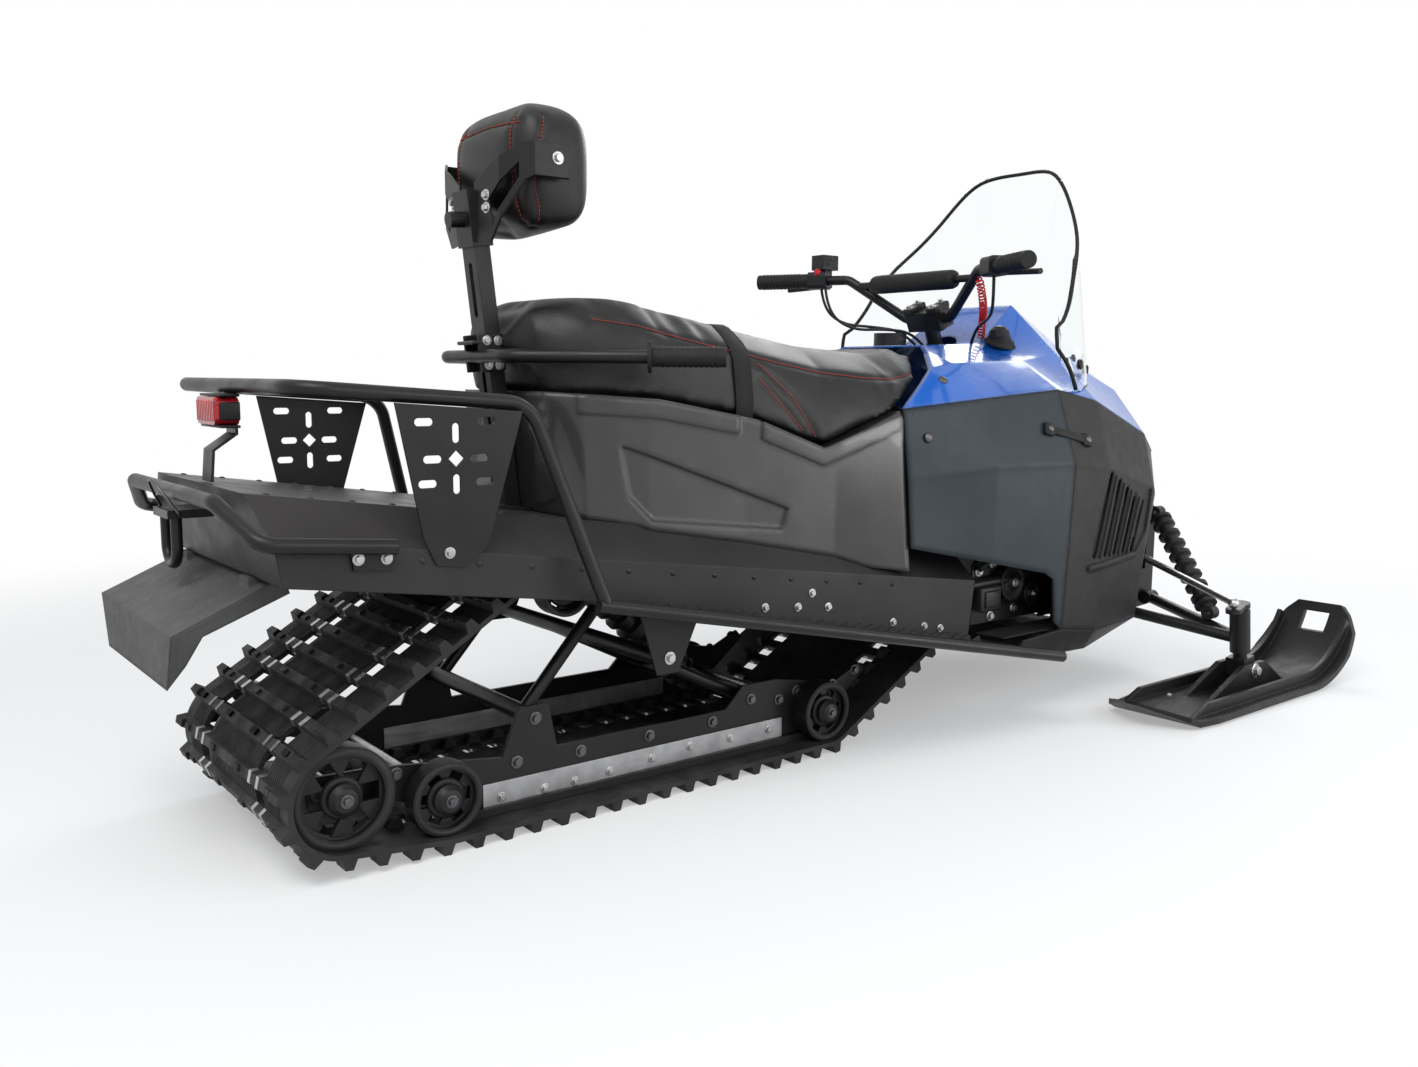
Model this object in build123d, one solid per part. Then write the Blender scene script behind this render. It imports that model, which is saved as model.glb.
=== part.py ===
"""Two-seat utility snowmobile: wide track, sliding rear skid, steered skis, rack and backrest."""
from build123d import *
import os
from math import atan2, cos, degrees, hypot, radians, sin, tan

# Sizes in millimetres and degrees.
# X points forward from the rear axle, Y to the left, Z up from the snow.

# Fits
RUN_GAP = 0.3
SEAT_GAP = 0.3
SEAM = 0.6
PIN_GAP = 0.5

# Track
TRACK_WIDTH = 500
BELT = 8
LUG_HEIGHT = 16
LUG_COUNT = 60
LUG_BASE = 22
LUG_TIP = 12
LUG_ROOT = 2
BAR_HEIGHT = 10
END_BLOCK = 34
WINDOW_Y = 132
WINDOW_WIDTH = 40

# Wheels of the skid and drive
REAR_WHEEL_R = 76
REAR_WHEEL_Z = 117
LOW_WHEEL_R = 57
LOW_WHEEL_X = (160, 947)
CARRIER_R = 46
CARRIER_X = 370
CARRIER_Z = 381
DRIVE_R = 62
DRIVE_X = 1215
DRIVE_Z = 240
DRIVE_TEETH = 8
WHEEL_Y = 221
WHEEL_WIDTH = 32
WHEEL_WEB = 8
WHEEL_WINDOWS = 6
AXLE_R = 10
HUB_R = 22

# Skid frame
RAIL_Y = 190
RAIL_T = 6
RAIL_TOP = 112
RUNNER_T = 14
RUNNER_W = 26
BEAM_X = (238, 866)
BEAM_TOP = 75
BEAM_T = 12
REAR_ARM_LOW = (335, 166)
REAR_ARM_TOP = (520, 372)
FRONT_ARM_LOW = (791, 122)
FRONT_ARM_TOP = (534, 249)
ARM_R = 14
ARM_Y = 150

# Tunnel, drawn level and then pitched nose down
STANCE_PITCH = 7.8
TUNNEL_Z = 540
TUNNEL_REAR = -115
TUNNEL_REAR_RAKE = 40
TUNNEL_FRONT = 1330
TUNNEL_TOP_HALF = 215
TUNNEL_HALF = 285
TUNNEL_CHAMFER = 55
TUNNEL_SHEET = 3
TUNNEL_SIDE_REAR = 116

# Running boards
BOARD_START = 385
BOARD_DROP = 120
BOARD_LENGTH = 1042
BOARD_PITCH = 3.4
BOARD_REAR_HALF = 334
BOARD_FRONT_HALF = 448
BOARD_T = 3
BOARD_TUBE_R = 11
TOOTH_PITCH = 32
TOOTH_HEIGHT = 12

# Rack, bumpers and grab bar tubes
TUBE_R = 11
RACK_REAR = -60
RACK_Z = 695
RACK_HALF = 274
RACK_BEND = (285, 672)
RACK_PLATE_T = 3
BUMPER_REAR = -150
BUMPER_Z = 545
BUMPER_HALF = 210
BUMPER_FOOT = (60, 480)
BUMPER_BEND = (-120, 496)

# Backrest
POST_LEAN = 6.65
POST_X = 374
POST_Z = 670
POST_DEPTH = 28
POST_WIDTH = 44
POST_WALL = 3
POST_TOP = 330
SLEEVE_LOW = 255
SLEEVE_TOP = 345
SLEEVE_WALL = 4
PAD_HALF = 140
PAD_PIVOT = (410, 1053)
PAD_REAR = 352
PAD_FRONT = 508
PAD_LOW = 938
PAD_TOP = 1158
PAD_CORNER = 60
PAD_CROWN = 72
PAD_FOOT = 28
WING_OPENING = [(64, 992), (128, 1046), (128, 1022), (74, 950)]

# Body
SHELL = 4
PANEL_SPLIT = 1512
NOSE_END = 1960
BODY_REAR = 1100

# Steering
COLUMN_RAKE = 25
CLAMP_X = 1470
CLAMP_Z = 846
COLUMN_R = 17
COLUMN_LOW = 470
BEARING_Z = 600
BAR_HALF = 388
BAR_SWEEP = 166
BAR_RISE = 93

# Front suspension
SKI_Y = 498
KINGPIN_X = 2011
CASTER = 7.7
KINGPIN_R = 15
SLEEVE_R = 22
SLEEVE_SPAN = (102, 202)
STEER_ARM = (-46, -10)
STEER_ARM_Z = (207, 217)
BALL_R = 12
TIE_ROD_R = 8
TIE_INNER = (2066, 165, 288)
SKI_WIDTH = 215
SKI_REAR = 1562
SKI_TAIL_Z = 50
SKI_HEEL = 1660
SKI_TOE = 2150
SKI_CURL_R = 258
SKI_CURL = 68
SKI_T = 14
SKI_LOOP_Z = (106, 150)
SKI_LOOP_HALF = 30
SKI_RIB_T = 10
SKI_RIB_HEIGHT = 24
SKI_RIB_CURL = 58
BULK_X = (1890, 2140)
BULK_HALF = 185
BULK_Z = (135, 420)

# Snow flap, drawn level from its rear edge and then pitched
FLAP_REAR = -209
FLAP_Z = 372
FLAP_PITCH = 23.9
FLAP_HALF = 200
FLAP_LENGTH = 163
FLAP_DRAFT = 24
FLAP_T = 5
FLAP_SKIRT = 30
FLAP_LIP = (-32, -72)
FLAP_LIP_RUN = 68

LOW_WHEEL_Z = LOW_WHEEL_R + RUN_GAP + BELT + LUG_HEIGHT
CHASSIS = Pos(0, 0, TUNNEL_Z) * Rot(0, STANCE_PITCH, 0)
BOARD = CHASSIS * Pos(BOARD_START, 0, -BOARD_DROP) * Rot(0, BOARD_PITCH, 0)
POST = Pos(POST_X, 0, POST_Z) * Rot(0, -POST_LEAN, 0)


def side_prism(points, y_low, y_high):
    """A prism drawn in side view (x, z) between two planes across the machine."""
    face = Plane.XZ * make_face(Polyline(*points, close=True))
    return Pos(0, y_high, 0) * extrude(face, y_high - y_low, dir=(0, -1, 0))


def front_prism(points, x_low, x_high):
    """A prism drawn in front view (y, z) between two planes along the machine."""
    face = Plane.YZ * make_face(Polyline(*points, close=True))
    return Pos(x_low, 0, 0) * extrude(face, x_high - x_low, dir=(1, 0, 0))


def plan_prism(points, z_low, z_high):
    """A prism drawn in plan (x, y) between two heights."""
    face = make_face(Polyline(*points, close=True))
    return Pos(0, 0, z_low) * extrude(face, z_high - z_low, dir=(0, 0, 1))


def rod(start, end, radius):
    """A round bar between two points."""
    along = Vector(*end) - Vector(*start)
    bar = Cylinder(radius, along.length, align=(Align.CENTER, Align.CENTER, Align.MIN))
    return Plane(origin=start, z_dir=along) * bar


def cross_bar(x, z, half, radius):
    """A round bar straight across the machine."""
    return rod((x, -half, z), (x, half, z), radius)


def bent_tube(points, radius, bend):
    """A round tube with equal bends at the inner points."""
    path = FilletPolyline(*points, radius=bend)
    section = Plane(origin=path @ 0, z_dir=path % 0) * Circle(radius)
    return sweep(section, path=path)


def mirrored(part):
    """The same piece on the other side of the machine."""
    return mirror(part, Plane.XZ)


def pair(part):
    """A right and left piece that do not touch."""
    return part + mirrored(part)


# Track loop: x, z and radius of each wheel that the belt runs round
TRACK_WHEELS = [
    (0, REAR_WHEEL_Z, REAR_WHEEL_R),
    (LOW_WHEEL_X[0], LOW_WHEEL_Z, LOW_WHEEL_R),
    (LOW_WHEEL_X[1], LOW_WHEEL_Z, LOW_WHEEL_R),
    (DRIVE_X, DRIVE_Z, DRIVE_R),
    (CARRIER_X, CARRIER_Z, CARRIER_R),
]


def loop_outline(offset):
    """The closed outline round all the wheels, offset outwards."""
    rings = [Pos(x, z) * Circle(r + RUN_GAP + offset) for x, z, r in TRACK_WHEELS]
    return make_hull([edge for ring in rings for edge in ring.edges()])


def bar_outline(at, along, out, height, depth):
    """One cross bar in side view, its foot sunk into the belt by a depth."""
    base = along * (LUG_BASE / 2)
    tip = base - along * ((LUG_BASE - LUG_TIP) / 2 * height / LUG_HEIGHT)
    foot = at - out * depth
    top = at + out * height
    return make_face(Polyline(foot - base, at - base, top - tip, top + tip, at + base, foot + base, close=True))


def bar_places():
    """Place, run and outward direction of each cross bar on the belt."""
    face = loop_outline(BELT).face()
    wire = face.outer_wire()
    middle = Vector(*face.center())
    places = []
    for i in range(LUG_COUNT):
        at = wire.position_at(i / LUG_COUNT)
        along = wire.tangent_at(i / LUG_COUNT)
        out = Vector(along.Y, -along.X)
        places.append((at, along, out if out.dot(at - middle) > 0 else out * -1))
    return places


def make_track():
    """The belt in strips across its width: tall blocks at the bars' ends, two rows of windows."""
    ring = loop_outline(BELT) - loop_outline(0)
    places = bar_places()
    tall = ring + [bar_outline(*place, LUG_HEIGHT, LUG_ROOT) for place in places]
    low = ring + [bar_outline(*place, BAR_HEIGHT, LUG_ROOT) for place in places]
    bridges = [bar_outline(*place, BAR_HEIGHT, BELT) for place in places]
    half = TRACK_WIDTH / 2
    window = (WINDOW_Y - WINDOW_WIDTH / 2, WINDOW_Y + WINDOW_WIDTH / 2)
    # Each strip: its outline, its inner and its outer edge across the belt
    strips = [([low], -window[0], window[0]), (bridges, *window), ([low], window[1], half - END_BLOCK),
              ([tall], half - END_BLOCK, half)]
    track = Part()
    for outlines, inner, outer in strips:
        band = [Pos(0, outer, 0) * extrude(Plane.XZ * face, outer - inner, dir=(0, -1, 0)) for face in outlines]
        track += band
        if inner > 0:
            track += [mirrored(piece) for piece in band]
    return track


def make_wheel(radius):
    """A spoked idler wheel on its side, axle along Y."""
    rim_inner = radius * 0.8
    wheel = Cylinder(radius, WHEEL_WIDTH) - Cylinder(rim_inner, WHEEL_WIDTH)
    wheel += Cylinder(rim_inner + 1, WHEEL_WEB)
    window_out = rim_inner - 4
    window_in = HUB_R + 6
    reach = (window_out + window_in) / 2
    window = Box(window_out - window_in, radius * 0.36, WHEEL_WEB * 2)
    wheel -= PolarLocations(reach, WHEEL_WINDOWS) * window
    wheel += Cylinder(HUB_R, WHEEL_WIDTH)
    wheel -= Cylinder(AXLE_R + RUN_GAP, WHEEL_WIDTH)
    return Rot(90, 0, 0) * wheel


def make_wheel_pair(x, z, radius):
    return pair(Pos(x, -WHEEL_Y, z) * make_wheel(radius))


def make_drive_axle():
    """The drive shaft with its toothed wheels."""
    reach = TUNNEL_HALF - TUNNEL_SHEET - SEAT_GAP
    shaft = cross_bar(DRIVE_X, DRIVE_Z, reach, AXLE_R + 4)
    disc = Cylinder(DRIVE_R - 6, 40)
    disc += PolarLocations(DRIVE_R - 8, DRIVE_TEETH) * Box(15, 18, 40)
    disc = disc & Cylinder(DRIVE_R, 40)
    for y in (-110, 110):
        shaft += Pos(DRIVE_X, y, DRIVE_Z) * Rot(90, 0, 0) * disc
    return shaft


def make_axles():
    """The dead axles of the idlers between the rails and of the carrier rollers in the tunnel."""
    reach = WHEEL_Y + WHEEL_WIDTH / 2
    axles = cross_bar(0, REAR_WHEEL_Z, reach, AXLE_R)
    for x in LOW_WHEEL_X:
        axles += cross_bar(x, LOW_WHEEL_Z, reach, AXLE_R)
    axles += cross_bar(CARRIER_X, CARRIER_Z, TUNNEL_HALF - TUNNEL_SHEET - SEAT_GAP, AXLE_R)
    return axles


def make_rails():
    """The two slide rails' plates that carry the arms, open below where the beams sit."""
    low = RUN_GAP + BELT + LUG_HEIGHT + RUNNER_T
    front = LOW_WHEEL_X[1]
    outline = [
        (-38, REAR_WHEEL_Z - 26), (-38, REAR_WHEEL_Z + 26), (70, REAR_WHEEL_Z + 22),
        (REAR_ARM_LOW[0] - 60, RAIL_TOP), (REAR_ARM_LOW[0] - 30, REAR_ARM_LOW[1] + 22),
        (REAR_ARM_LOW[0] + 24, REAR_ARM_LOW[1] + 22), (REAR_ARM_LOW[0] + 40, RAIL_TOP),
        (FRONT_ARM_LOW[0] - 60, RAIL_TOP), (FRONT_ARM_LOW[0] - 20, FRONT_ARM_LOW[1] + 28),
        (FRONT_ARM_LOW[0] + 60, FRONT_ARM_LOW[1] + 28), (front + 60, RAIL_TOP + 10),
        (front + 125, RAIL_TOP + 38), (front + 140, RAIL_TOP + 22),
        (front + 40, low + 18), (front, low), (LOW_WHEEL_X[0] + 50, low), (70, REAR_WHEEL_Z - 26),
    ]
    plate = side_prism(outline, -RAIL_Y - RAIL_T / 2, -RAIL_Y + RAIL_T / 2)
    plate -= beam_prism(0, low - 50)
    bores = [(0, REAR_WHEEL_Z)] + [(x, LOW_WHEEL_Z) for x in LOW_WHEEL_X]
    for x, z in bores:
        plate -= cross_bar(x, z, TRACK_WIDTH, AXLE_R + RUN_GAP)
    return pair(plate)


def beam_prism(inset, low):
    """The side view of a rail beam, drawn in by an inset at its top and ends."""
    rear, front = BEAM_X
    return side_prism([(rear + inset, low), (front - inset, low), (front - inset, BEAM_TOP - inset),
                       (rear + inset, BEAM_TOP - inset)], -RAIL_Y - BEAM_T / 2, -RAIL_Y + BEAM_T / 2)


def make_beams():
    """The bare rail beams between the plates and the slide strips."""
    return pair(beam_prism(0, RUN_GAP + BELT + LUG_HEIGHT + RUNNER_T))


def make_runners():
    """The plastic slide strips under the rails."""
    low = RUN_GAP + BELT + LUG_HEIGHT
    rear = LOW_WHEEL_X[0] + 52
    strip = side_prism([(rear, low), (LOW_WHEEL_X[1], low), (LOW_WHEEL_X[1], low + RUNNER_T),
                        (rear, low + RUNNER_T)], -RAIL_Y - RUNNER_W / 2, -RAIL_Y + RUNNER_W / 2)
    return pair(strip)


def make_arms():
    """The front and rear swing arms between tunnel and rails."""
    inner = RAIL_Y - RAIL_T / 2 - SEAT_GAP
    rear_reach = TUNNEL_HALF - TUNNEL_SHEET - SEAT_GAP
    front_reach = rear_reach - TUNNEL_SHEET - 2 * SEAT_GAP
    arms = Part()
    ends = [(REAR_ARM_LOW, REAR_ARM_TOP, rear_reach), (FRONT_ARM_LOW, FRONT_ARM_TOP, front_reach)]
    for low, top, reach in ends:
        arm = cross_bar(low[0], low[1], inner, ARM_R) + cross_bar(top[0], top[1], reach, ARM_R)
        for y in (-ARM_Y, ARM_Y):
            arm += rod((low[0], y, low[1]), (top[0], y, top[1]), ARM_R - 3)
        arms += arm
    return arms


def make_coil_shock(low, top, body_r, spring_r, coils, eye_r, eye_bore, eye_axis):
    """A shock with an eye at each end; its coil spring is turned as a row of rings."""
    low = Vector(*low)
    top = Vector(*top)
    span = (top - low).length
    cup = 4
    base = eye_r + 8
    free = span - 2 * base - 2 * cup
    pitch = free / coils
    wire_r = pitch * 0.3
    core = spring_r - wire_r
    flat = wire_r * 0.45
    line = [(0, eye_bore + cup), (body_r, eye_bore + cup), (body_r, base - cup), (spring_r, base - cup),
            (spring_r, base + cup), (core, base + cup)]
    for i in range(coils):
        z = base + cup + pitch * (i + 0.5)
        line += [(core, z - wire_r), (spring_r, z - flat), (spring_r, z + flat), (core, z + wire_r)]
    line += [(core, span - base - cup), (spring_r, span - base - cup), (spring_r, span - base + cup),
             (body_r, span - base + cup), (body_r, span - eye_bore - cup), (0, span - eye_bore - cup)]
    face = make_face(Polyline(*line, close=True))
    shock = Plane(origin=low, z_dir=top - low) * revolve(Plane.XZ * face, Axis.Z)
    width = body_r * 2
    for end in (low, top):
        shock += Plane(origin=end, z_dir=eye_axis) * Cylinder(eye_r, width)
    for end in (low, top):
        shock -= Plane(origin=end, z_dir=eye_axis) * Cylinder(eye_bore, width)
    return shock


def make_skid_shock():
    low = (FRONT_ARM_LOW[0], 0, FRONT_ARM_LOW[1])
    top = (REAR_ARM_TOP[0], 0, REAR_ARM_TOP[1])
    return make_coil_shock(low, top, 16, 32, 9, ARM_R + 8, ARM_R + RUN_GAP, (0, 1, 0))


def tunnel_section(inset, depth):
    half = TUNNEL_HALF - inset
    top = TUNNEL_TOP_HALF - inset * 0.5
    return [(-half, -depth), (-half, -TUNNEL_CHAMFER - inset * 0.3), (-top, -inset), (top, -inset),
            (half, -TUNNEL_CHAMFER - inset * 0.3), (half, -depth)]


def board_line(x):
    """Height of the tunnel's lower edge below its top, along the tunnel."""
    if x < BOARD_START:
        return -BOARD_DROP + (BOARD_START - x) * (BOARD_DROP - TUNNEL_SIDE_REAR) / (BOARD_START - TUNNEL_REAR)
    return -BOARD_DROP - (x - BOARD_START) * tan(radians(BOARD_PITCH))


def tunnel_envelope(grow):
    """The solid that the tunnel's outside fills, for trimming what sits on it."""
    return CHASSIS * front_prism(tunnel_section(-grow, 400), TUNNEL_REAR - 60, TUNNEL_FRONT + 60)


def make_tunnel():
    deep = 260
    outer = front_prism(tunnel_section(0, deep), TUNNEL_REAR - 1, TUNNEL_FRONT)
    inner = front_prism(tunnel_section(TUNNEL_SHEET, deep + 1), TUNNEL_REAR - 2, TUNNEL_FRONT + 1)
    keep = [(TUNNEL_REAR, 0), (TUNNEL_FRONT, 0), (TUNNEL_FRONT, board_line(TUNNEL_FRONT)),
            (BOARD_START, board_line(BOARD_START)), (TUNNEL_REAR + TUNNEL_REAR_RAKE, -TUNNEL_SIDE_REAR)]
    rear = [(TUNNEL_REAR, 0), (TUNNEL_REAR + TUNNEL_SHEET, 0),
            (TUNNEL_REAR + TUNNEL_REAR_RAKE + TUNNEL_SHEET, -TUNNEL_SIDE_REAR),
            (TUNNEL_REAR + TUNNEL_REAR_RAKE, -TUNNEL_SIDE_REAR)]
    skin = (outer - inner) & side_prism(keep, -TUNNEL_HALF, TUNNEL_HALF)
    panel = outer & side_prism(rear, -TUNNEL_HALF, TUNNEL_HALF)
    return CHASSIS * (skin + panel)


def make_hangers():
    """The triangular plates that carry the front arm below the tunnel."""
    x, z = FRONT_ARM_TOP
    outline = [(x - 60, z + 150), (x + 75, z + 130), (x + 75, z + 90), (x + 22, z - 22), (x - 22, z - 22),
               (x - 60, z + 100)]
    y_out = TUNNEL_HALF - TUNNEL_SHEET - SEAT_GAP
    plate = side_prism(outline, -y_out, -y_out + TUNNEL_SHEET)
    plate -= cross_bar(REAR_ARM_TOP[0], REAR_ARM_TOP[1], TUNNEL_HALF, ARM_R + RUN_GAP)
    return pair(plate)


def board_tube(radius):
    """The round edge of the right board, in the board's own frame."""
    return rod((0, -BOARD_REAR_HALF, 0), (BOARD_LENGTH, -BOARD_FRONT_HALF, 0), radius)


def make_running_boards():
    inner = -TUNNEL_HALF - SEAT_GAP
    length = BOARD_LENGTH
    plate = plan_prism([(0, inner), (0, -BOARD_REAR_HALF), (length, -BOARD_FRONT_HALF), (length, inner)],
                       -BOARD_T / 2, BOARD_T / 2)
    plate += board_tube(BOARD_TUBE_R)
    teeth = []
    count = int((length - 120) // TOOTH_PITCH)
    for i in range(count):
        x = 70 + i * TOOTH_PITCH
        teeth += [(x, 0), (x + TOOTH_PITCH * 0.7, TOOTH_HEIGHT)]
    teeth.append((70 + count * TOOTH_PITCH, 0))
    comb = side_prism([(70, -BOARD_T / 2)] + teeth + [(70 + count * TOOTH_PITCH, -BOARD_T / 2)],
                      inner - 20, inner - 20 + BOARD_T)
    return pair(BOARD * (plate + comb))


# Body shell sections: x, then half width and height at the top, shoulder, seam, widest line and lower edge
BODY_SECTIONS = [
    (1080, (130, 742), (215, 710), (266, 653), (282, 520), (296, 388)),
    (1300, (115, 782), (215, 745), (300, 674), (340, 540), (335, 345)),
    (1512, (110, 790), (225, 752), (322, 692), (372, 540), (356, 190)),
    (1640, (95, 880), (220, 770), (328, 668), (372, 525), (352, 172)),
    (1850, (150, 735), (235, 690), (318, 592), (350, 470), (318, 170)),
    (1990, (140, 640), (205, 600), (255, 545), (270, 440), (235, 190)),
    (2110, (80, 545), (120, 530), (150, 505), (150, 440), (120, 330)),
]


def seam_height(x):
    """Height of the joint line between hood and lower panels."""
    for low, high in zip(BODY_SECTIONS, BODY_SECTIONS[1:]):
        if low[0] <= x <= high[0]:
            share = (x - low[0]) / (high[0] - low[0])
            return low[3][1] + share * (high[3][1] - low[3][1])
    return BODY_SECTIONS[-1][3][1]


def body_loft(grow, lower=0, ahead=0):
    """The solid inside the body's outer skin, grown or shrunk, with its floor lowered."""
    sections = []
    for i, (x, *half) in enumerate(BODY_SECTIONS):
        right = [(w + grow, z + grow) for w, z in half]
        right[-1] = (right[-1][0], half[-1][1] - lower)
        ring = right + [(-w, z) for w, z in reversed(right)]
        shift = ahead if i == len(BODY_SECTIONS) - 1 else 0
        sections.append(Pos(x + shift, 0, 0) * (Plane.YZ * make_face(Polyline(*ring, close=True))))
    return loft(sections, ruled=True)


def body_shell():
    tail = BODY_SECTIONS[0][0]
    cut = body_loft(-SHELL, lower=2, ahead=-SHELL)
    open_rear = front_prism([(-SHELL + w if w > 0 else SHELL + w, z - SHELL)
                             for w, z in list(BODY_SECTIONS[0][1:])
                             + [(-w, z) for w, z in reversed(BODY_SECTIONS[0][1:])]], tail - 5, tail)
    return body_loft(0) - cut - open_rear


def seam_prism(shift, up):
    """The space above (or below) the hood's joint line, moved by a gap."""
    top = 1400 if up else -100
    line = [(x, seam_height(x) + shift) for x, *_ in BODY_SECTIONS]
    rear = (BODY_SECTIONS[0][0] - 300, line[0][1])
    ahead = (BODY_SECTIONS[-1][0] + 300, line[-1][1])
    return side_prism([(rear[0], top), rear] + line + [ahead, (ahead[0], top)], -700, 700)


# The seat's front meets the hood on a sloping plane: x forward for each unit of height
SEAT_SLOPE = 1.75
SEAT_SEAM_Z = seam_height(BODY_REAR)


def ahead_of_seat(shift):
    """The space in front of the seat's sloping end."""
    rise = 400
    return side_prism([(BODY_REAR + shift, SEAT_SEAM_Z), (BODY_REAR + shift + rise * SEAT_SLOPE, SEAT_SEAM_Z + rise),
                       (3000, SEAT_SEAM_Z + rise), (3000, -100), (BODY_REAR + shift, -100)], -700, 700)


def column_axis_point(z):
    """Centre of the steering column at a height."""
    return (CLAMP_X + (CLAMP_Z - z) * tan(radians(COLUMN_RAKE)), 0, z)


LAMP_OUTLINE = [(96, 516), (92, 540), (186, 604), (224, 590), (200, 556), (140, 518)]


def lamp_prism(shrink):
    middle_y = sum(y for y, z in LAMP_OUTLINE) / len(LAMP_OUTLINE)
    middle_z = sum(z for y, z in LAMP_OUTLINE) / len(LAMP_OUTLINE)
    points = []
    for y, z in LAMP_OUTLINE:
        away = hypot(y - middle_y, z - middle_z)
        points.append((y - (y - middle_y) / away * shrink, z - (z - middle_z) / away * shrink))
    return pair(front_prism(points, BODY_SECTIONS[-3][0], BODY_SECTIONS[-1][0] + 50))


def make_hood(shell):
    hood = (shell & seam_prism(SEAM / 2, True)) & ahead_of_seat(SEAM / 2)
    hood -= rod(column_axis_point(BEARING_Z), column_axis_point(CLAMP_Z + 60), COLUMN_R + 30)
    return hood - lamp_prism(0)


def make_headlamps(shell):
    return shell & seam_prism(SEAM / 2, True) & lamp_prism(SEAM)


def make_side_panels(shell):
    lower = shell & seam_prism(-SEAM / 2, False) & ahead_of_seat(SEAM / 2)
    front = PANEL_SPLIT - SEAM / 2
    outline = [(BODY_REAR - 10, 392), (BODY_REAR - 10, 900), (front, 900), (front, 150), (front - 22, 200),
               (front - 36, 300), (front - 60, 315)]
    return lower & side_prism(outline, -700, 700)


# Louvre slots of the nose panels, from the rear forward
LOUVRES = 5
LOUVRE_FIRST = (1610, 330)
LOUVRE_STEP = 42
LOUVRE_LENGTH = 190
LOUVRE_SHORTER = 18
LOUVRE_LEAN = 12
LOUVRE_WIDTH = 14
# Raised frame of the nose panels in side view, and the ribs between the slots
NOSE_RIM = [(1590, 312), (1800, 325), (1838, 372), (1838, 470)]
NOSE_RIM_WIDTH = 12
NOSE_RIM_HEIGHT = 5
NOSE_RIB_WIDTH = 6


def louvre_prism(place, width):
    """A slanted slot or rib right across the nose, counted from the rear."""
    length = LOUVRE_LENGTH - place * LOUVRE_SHORTER
    lean = tan(radians(LOUVRE_LEAN)) * length / 2
    outline = Plane.XZ * SlotOverall(length, width, rotation=90 - LOUVRE_LEAN)
    x = LOUVRE_FIRST[0] + place * LOUVRE_STEP + lean
    return Pos(x, 0, LOUVRE_FIRST[1] + length / 2) * extrude(outline, 700, both=True)


def make_nose_panels(shell):
    """The nose's sides: louvre slots with ribs between them inside a raised frame."""
    rear = PANEL_SPLIT + SEAM / 2
    below = seam_prism(-SEAM / 2, False) & side_prism(
        [(rear, 0), (rear, 900), (NOSE_END, 900), (NOSE_END, 0)], -700, 700)
    raised = extrude(Plane.XZ * trace(Polyline(*NOSE_RIM), NOSE_RIM_WIDTH), 700, both=True)
    for i in range(LOUVRES - 1):
        raised += louvre_prism(i + 0.5, NOSE_RIB_WIDTH)
    skin = body_loft(NOSE_RIM_HEIGHT) - body_loft(-SHELL / 2)
    panels = (shell & below) + (skin & raised & below)
    for i in range(LOUVRES):
        panels -= louvre_prism(i, LOUVRE_WIDTH)
    return panels


# Belly pan sections: x, half width and height of the upper edge, then of the floor's edge
BELLY_SECTIONS = [
    (1400, (344, 178), (328, 140)),
    (1512, (356, 190), (336, 132)),
    (1640, (352, 172), (328, 126)),
    (1850, (318, 170), (250, 118)),
    (1884, (298, 174.8), (232, 121)),
]


def make_belly():
    def tray(inset, up):
        faces = []
        for x, rim, floor in BELLY_SECTIONS:
            right = [(rim[0] - inset, rim[1] - SEAM + up), (floor[0] - inset, floor[1] + inset)]
            ring = right + [(-w, z) for w, z in reversed(right)]
            faces.append(Pos(x, 0, 0) * (Plane.YZ * make_face(Polyline(*ring, close=True))))
        return loft(faces, ruled=True)
    return tray(0, 0) - tray(SHELL, 0.5)


WINDSHIELD_AXIS = 1512
WINDSHIELD_LOW = (700, 325)
WINDSHIELD_TOP = (1200, 270)
WINDSHIELD_T = 4


def make_windshield(envelope):
    low_z, low_r = WINDSHIELD_LOW
    top_z, top_r = WINDSHIELD_TOP
    slope = (top_r - low_r) / (top_z - low_z)
    base = low_z - 100
    height = top_z + 10 - base
    low = low_r - 100 * slope
    high = top_r + 10 * slope
    axis = Pos(WINDSHIELD_AXIS, 0, base)
    align = (Align.CENTER, Align.CENTER, Align.MIN)
    skin = axis * Cone(low, high, height, align=align)
    skin -= axis * Cone(low - WINDSHIELD_T, high - WINDSHIELD_T, height, align=align)
    half = [(85, 1195), (140, 1160), (276, 966), (316, 800), (316, 690)]
    outline = half + [(-y, z) for y, z in reversed(half)]
    pane = skin & front_prism(outline, WINDSHIELD_AXIS + 12, WINDSHIELD_AXIS + 600)
    return pane - envelope


# Seat and fairing sections: x, then half width and height at the crown, top edge, flank and foot
SEAT_SECTIONS = [
    (360, (80, 820), (104, 790), (112, 690), (116, 440)),
    (400, (104, 830), (132, 798), (146, 688), (152, 435)),
    (440, (124, 836), (158, 802), (178, 686), (186, 430)),
    (490, (140, 838), (182, 799), (201, 680), (210, 425)),
    (540, (150, 836), (200, 794), (216, 672), (228, 420)),
    (740, (150, 800), (214, 756), (236, 640), (236, 400)),
    (940, (140, 768), (222, 722), (256, 590), (252, 370)),
    (1130, (130, 757), (222, 714), (272, 648), (304, 340)),
    (1330, (110, 778), (190, 742), (240, 690), (304, 320)),
]
# The joint between cushion and fairing in side view
CUSHION_LINE = [(300, 694), (560, 676), (760, 640), (908, 586), (1000, 616), (BODY_REAR, 652), (1500, 652)]


# Recess and lip of the fairing in side view
ARROW = [(495, 600), (832, 479), (821, 442), (545, 474), (508, 515)]
ARROW_DEPTH = 7
LIP_X = (430, 1090)
LIP_DEPTH = 32
LIP_HEIGHT = 5


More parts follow.
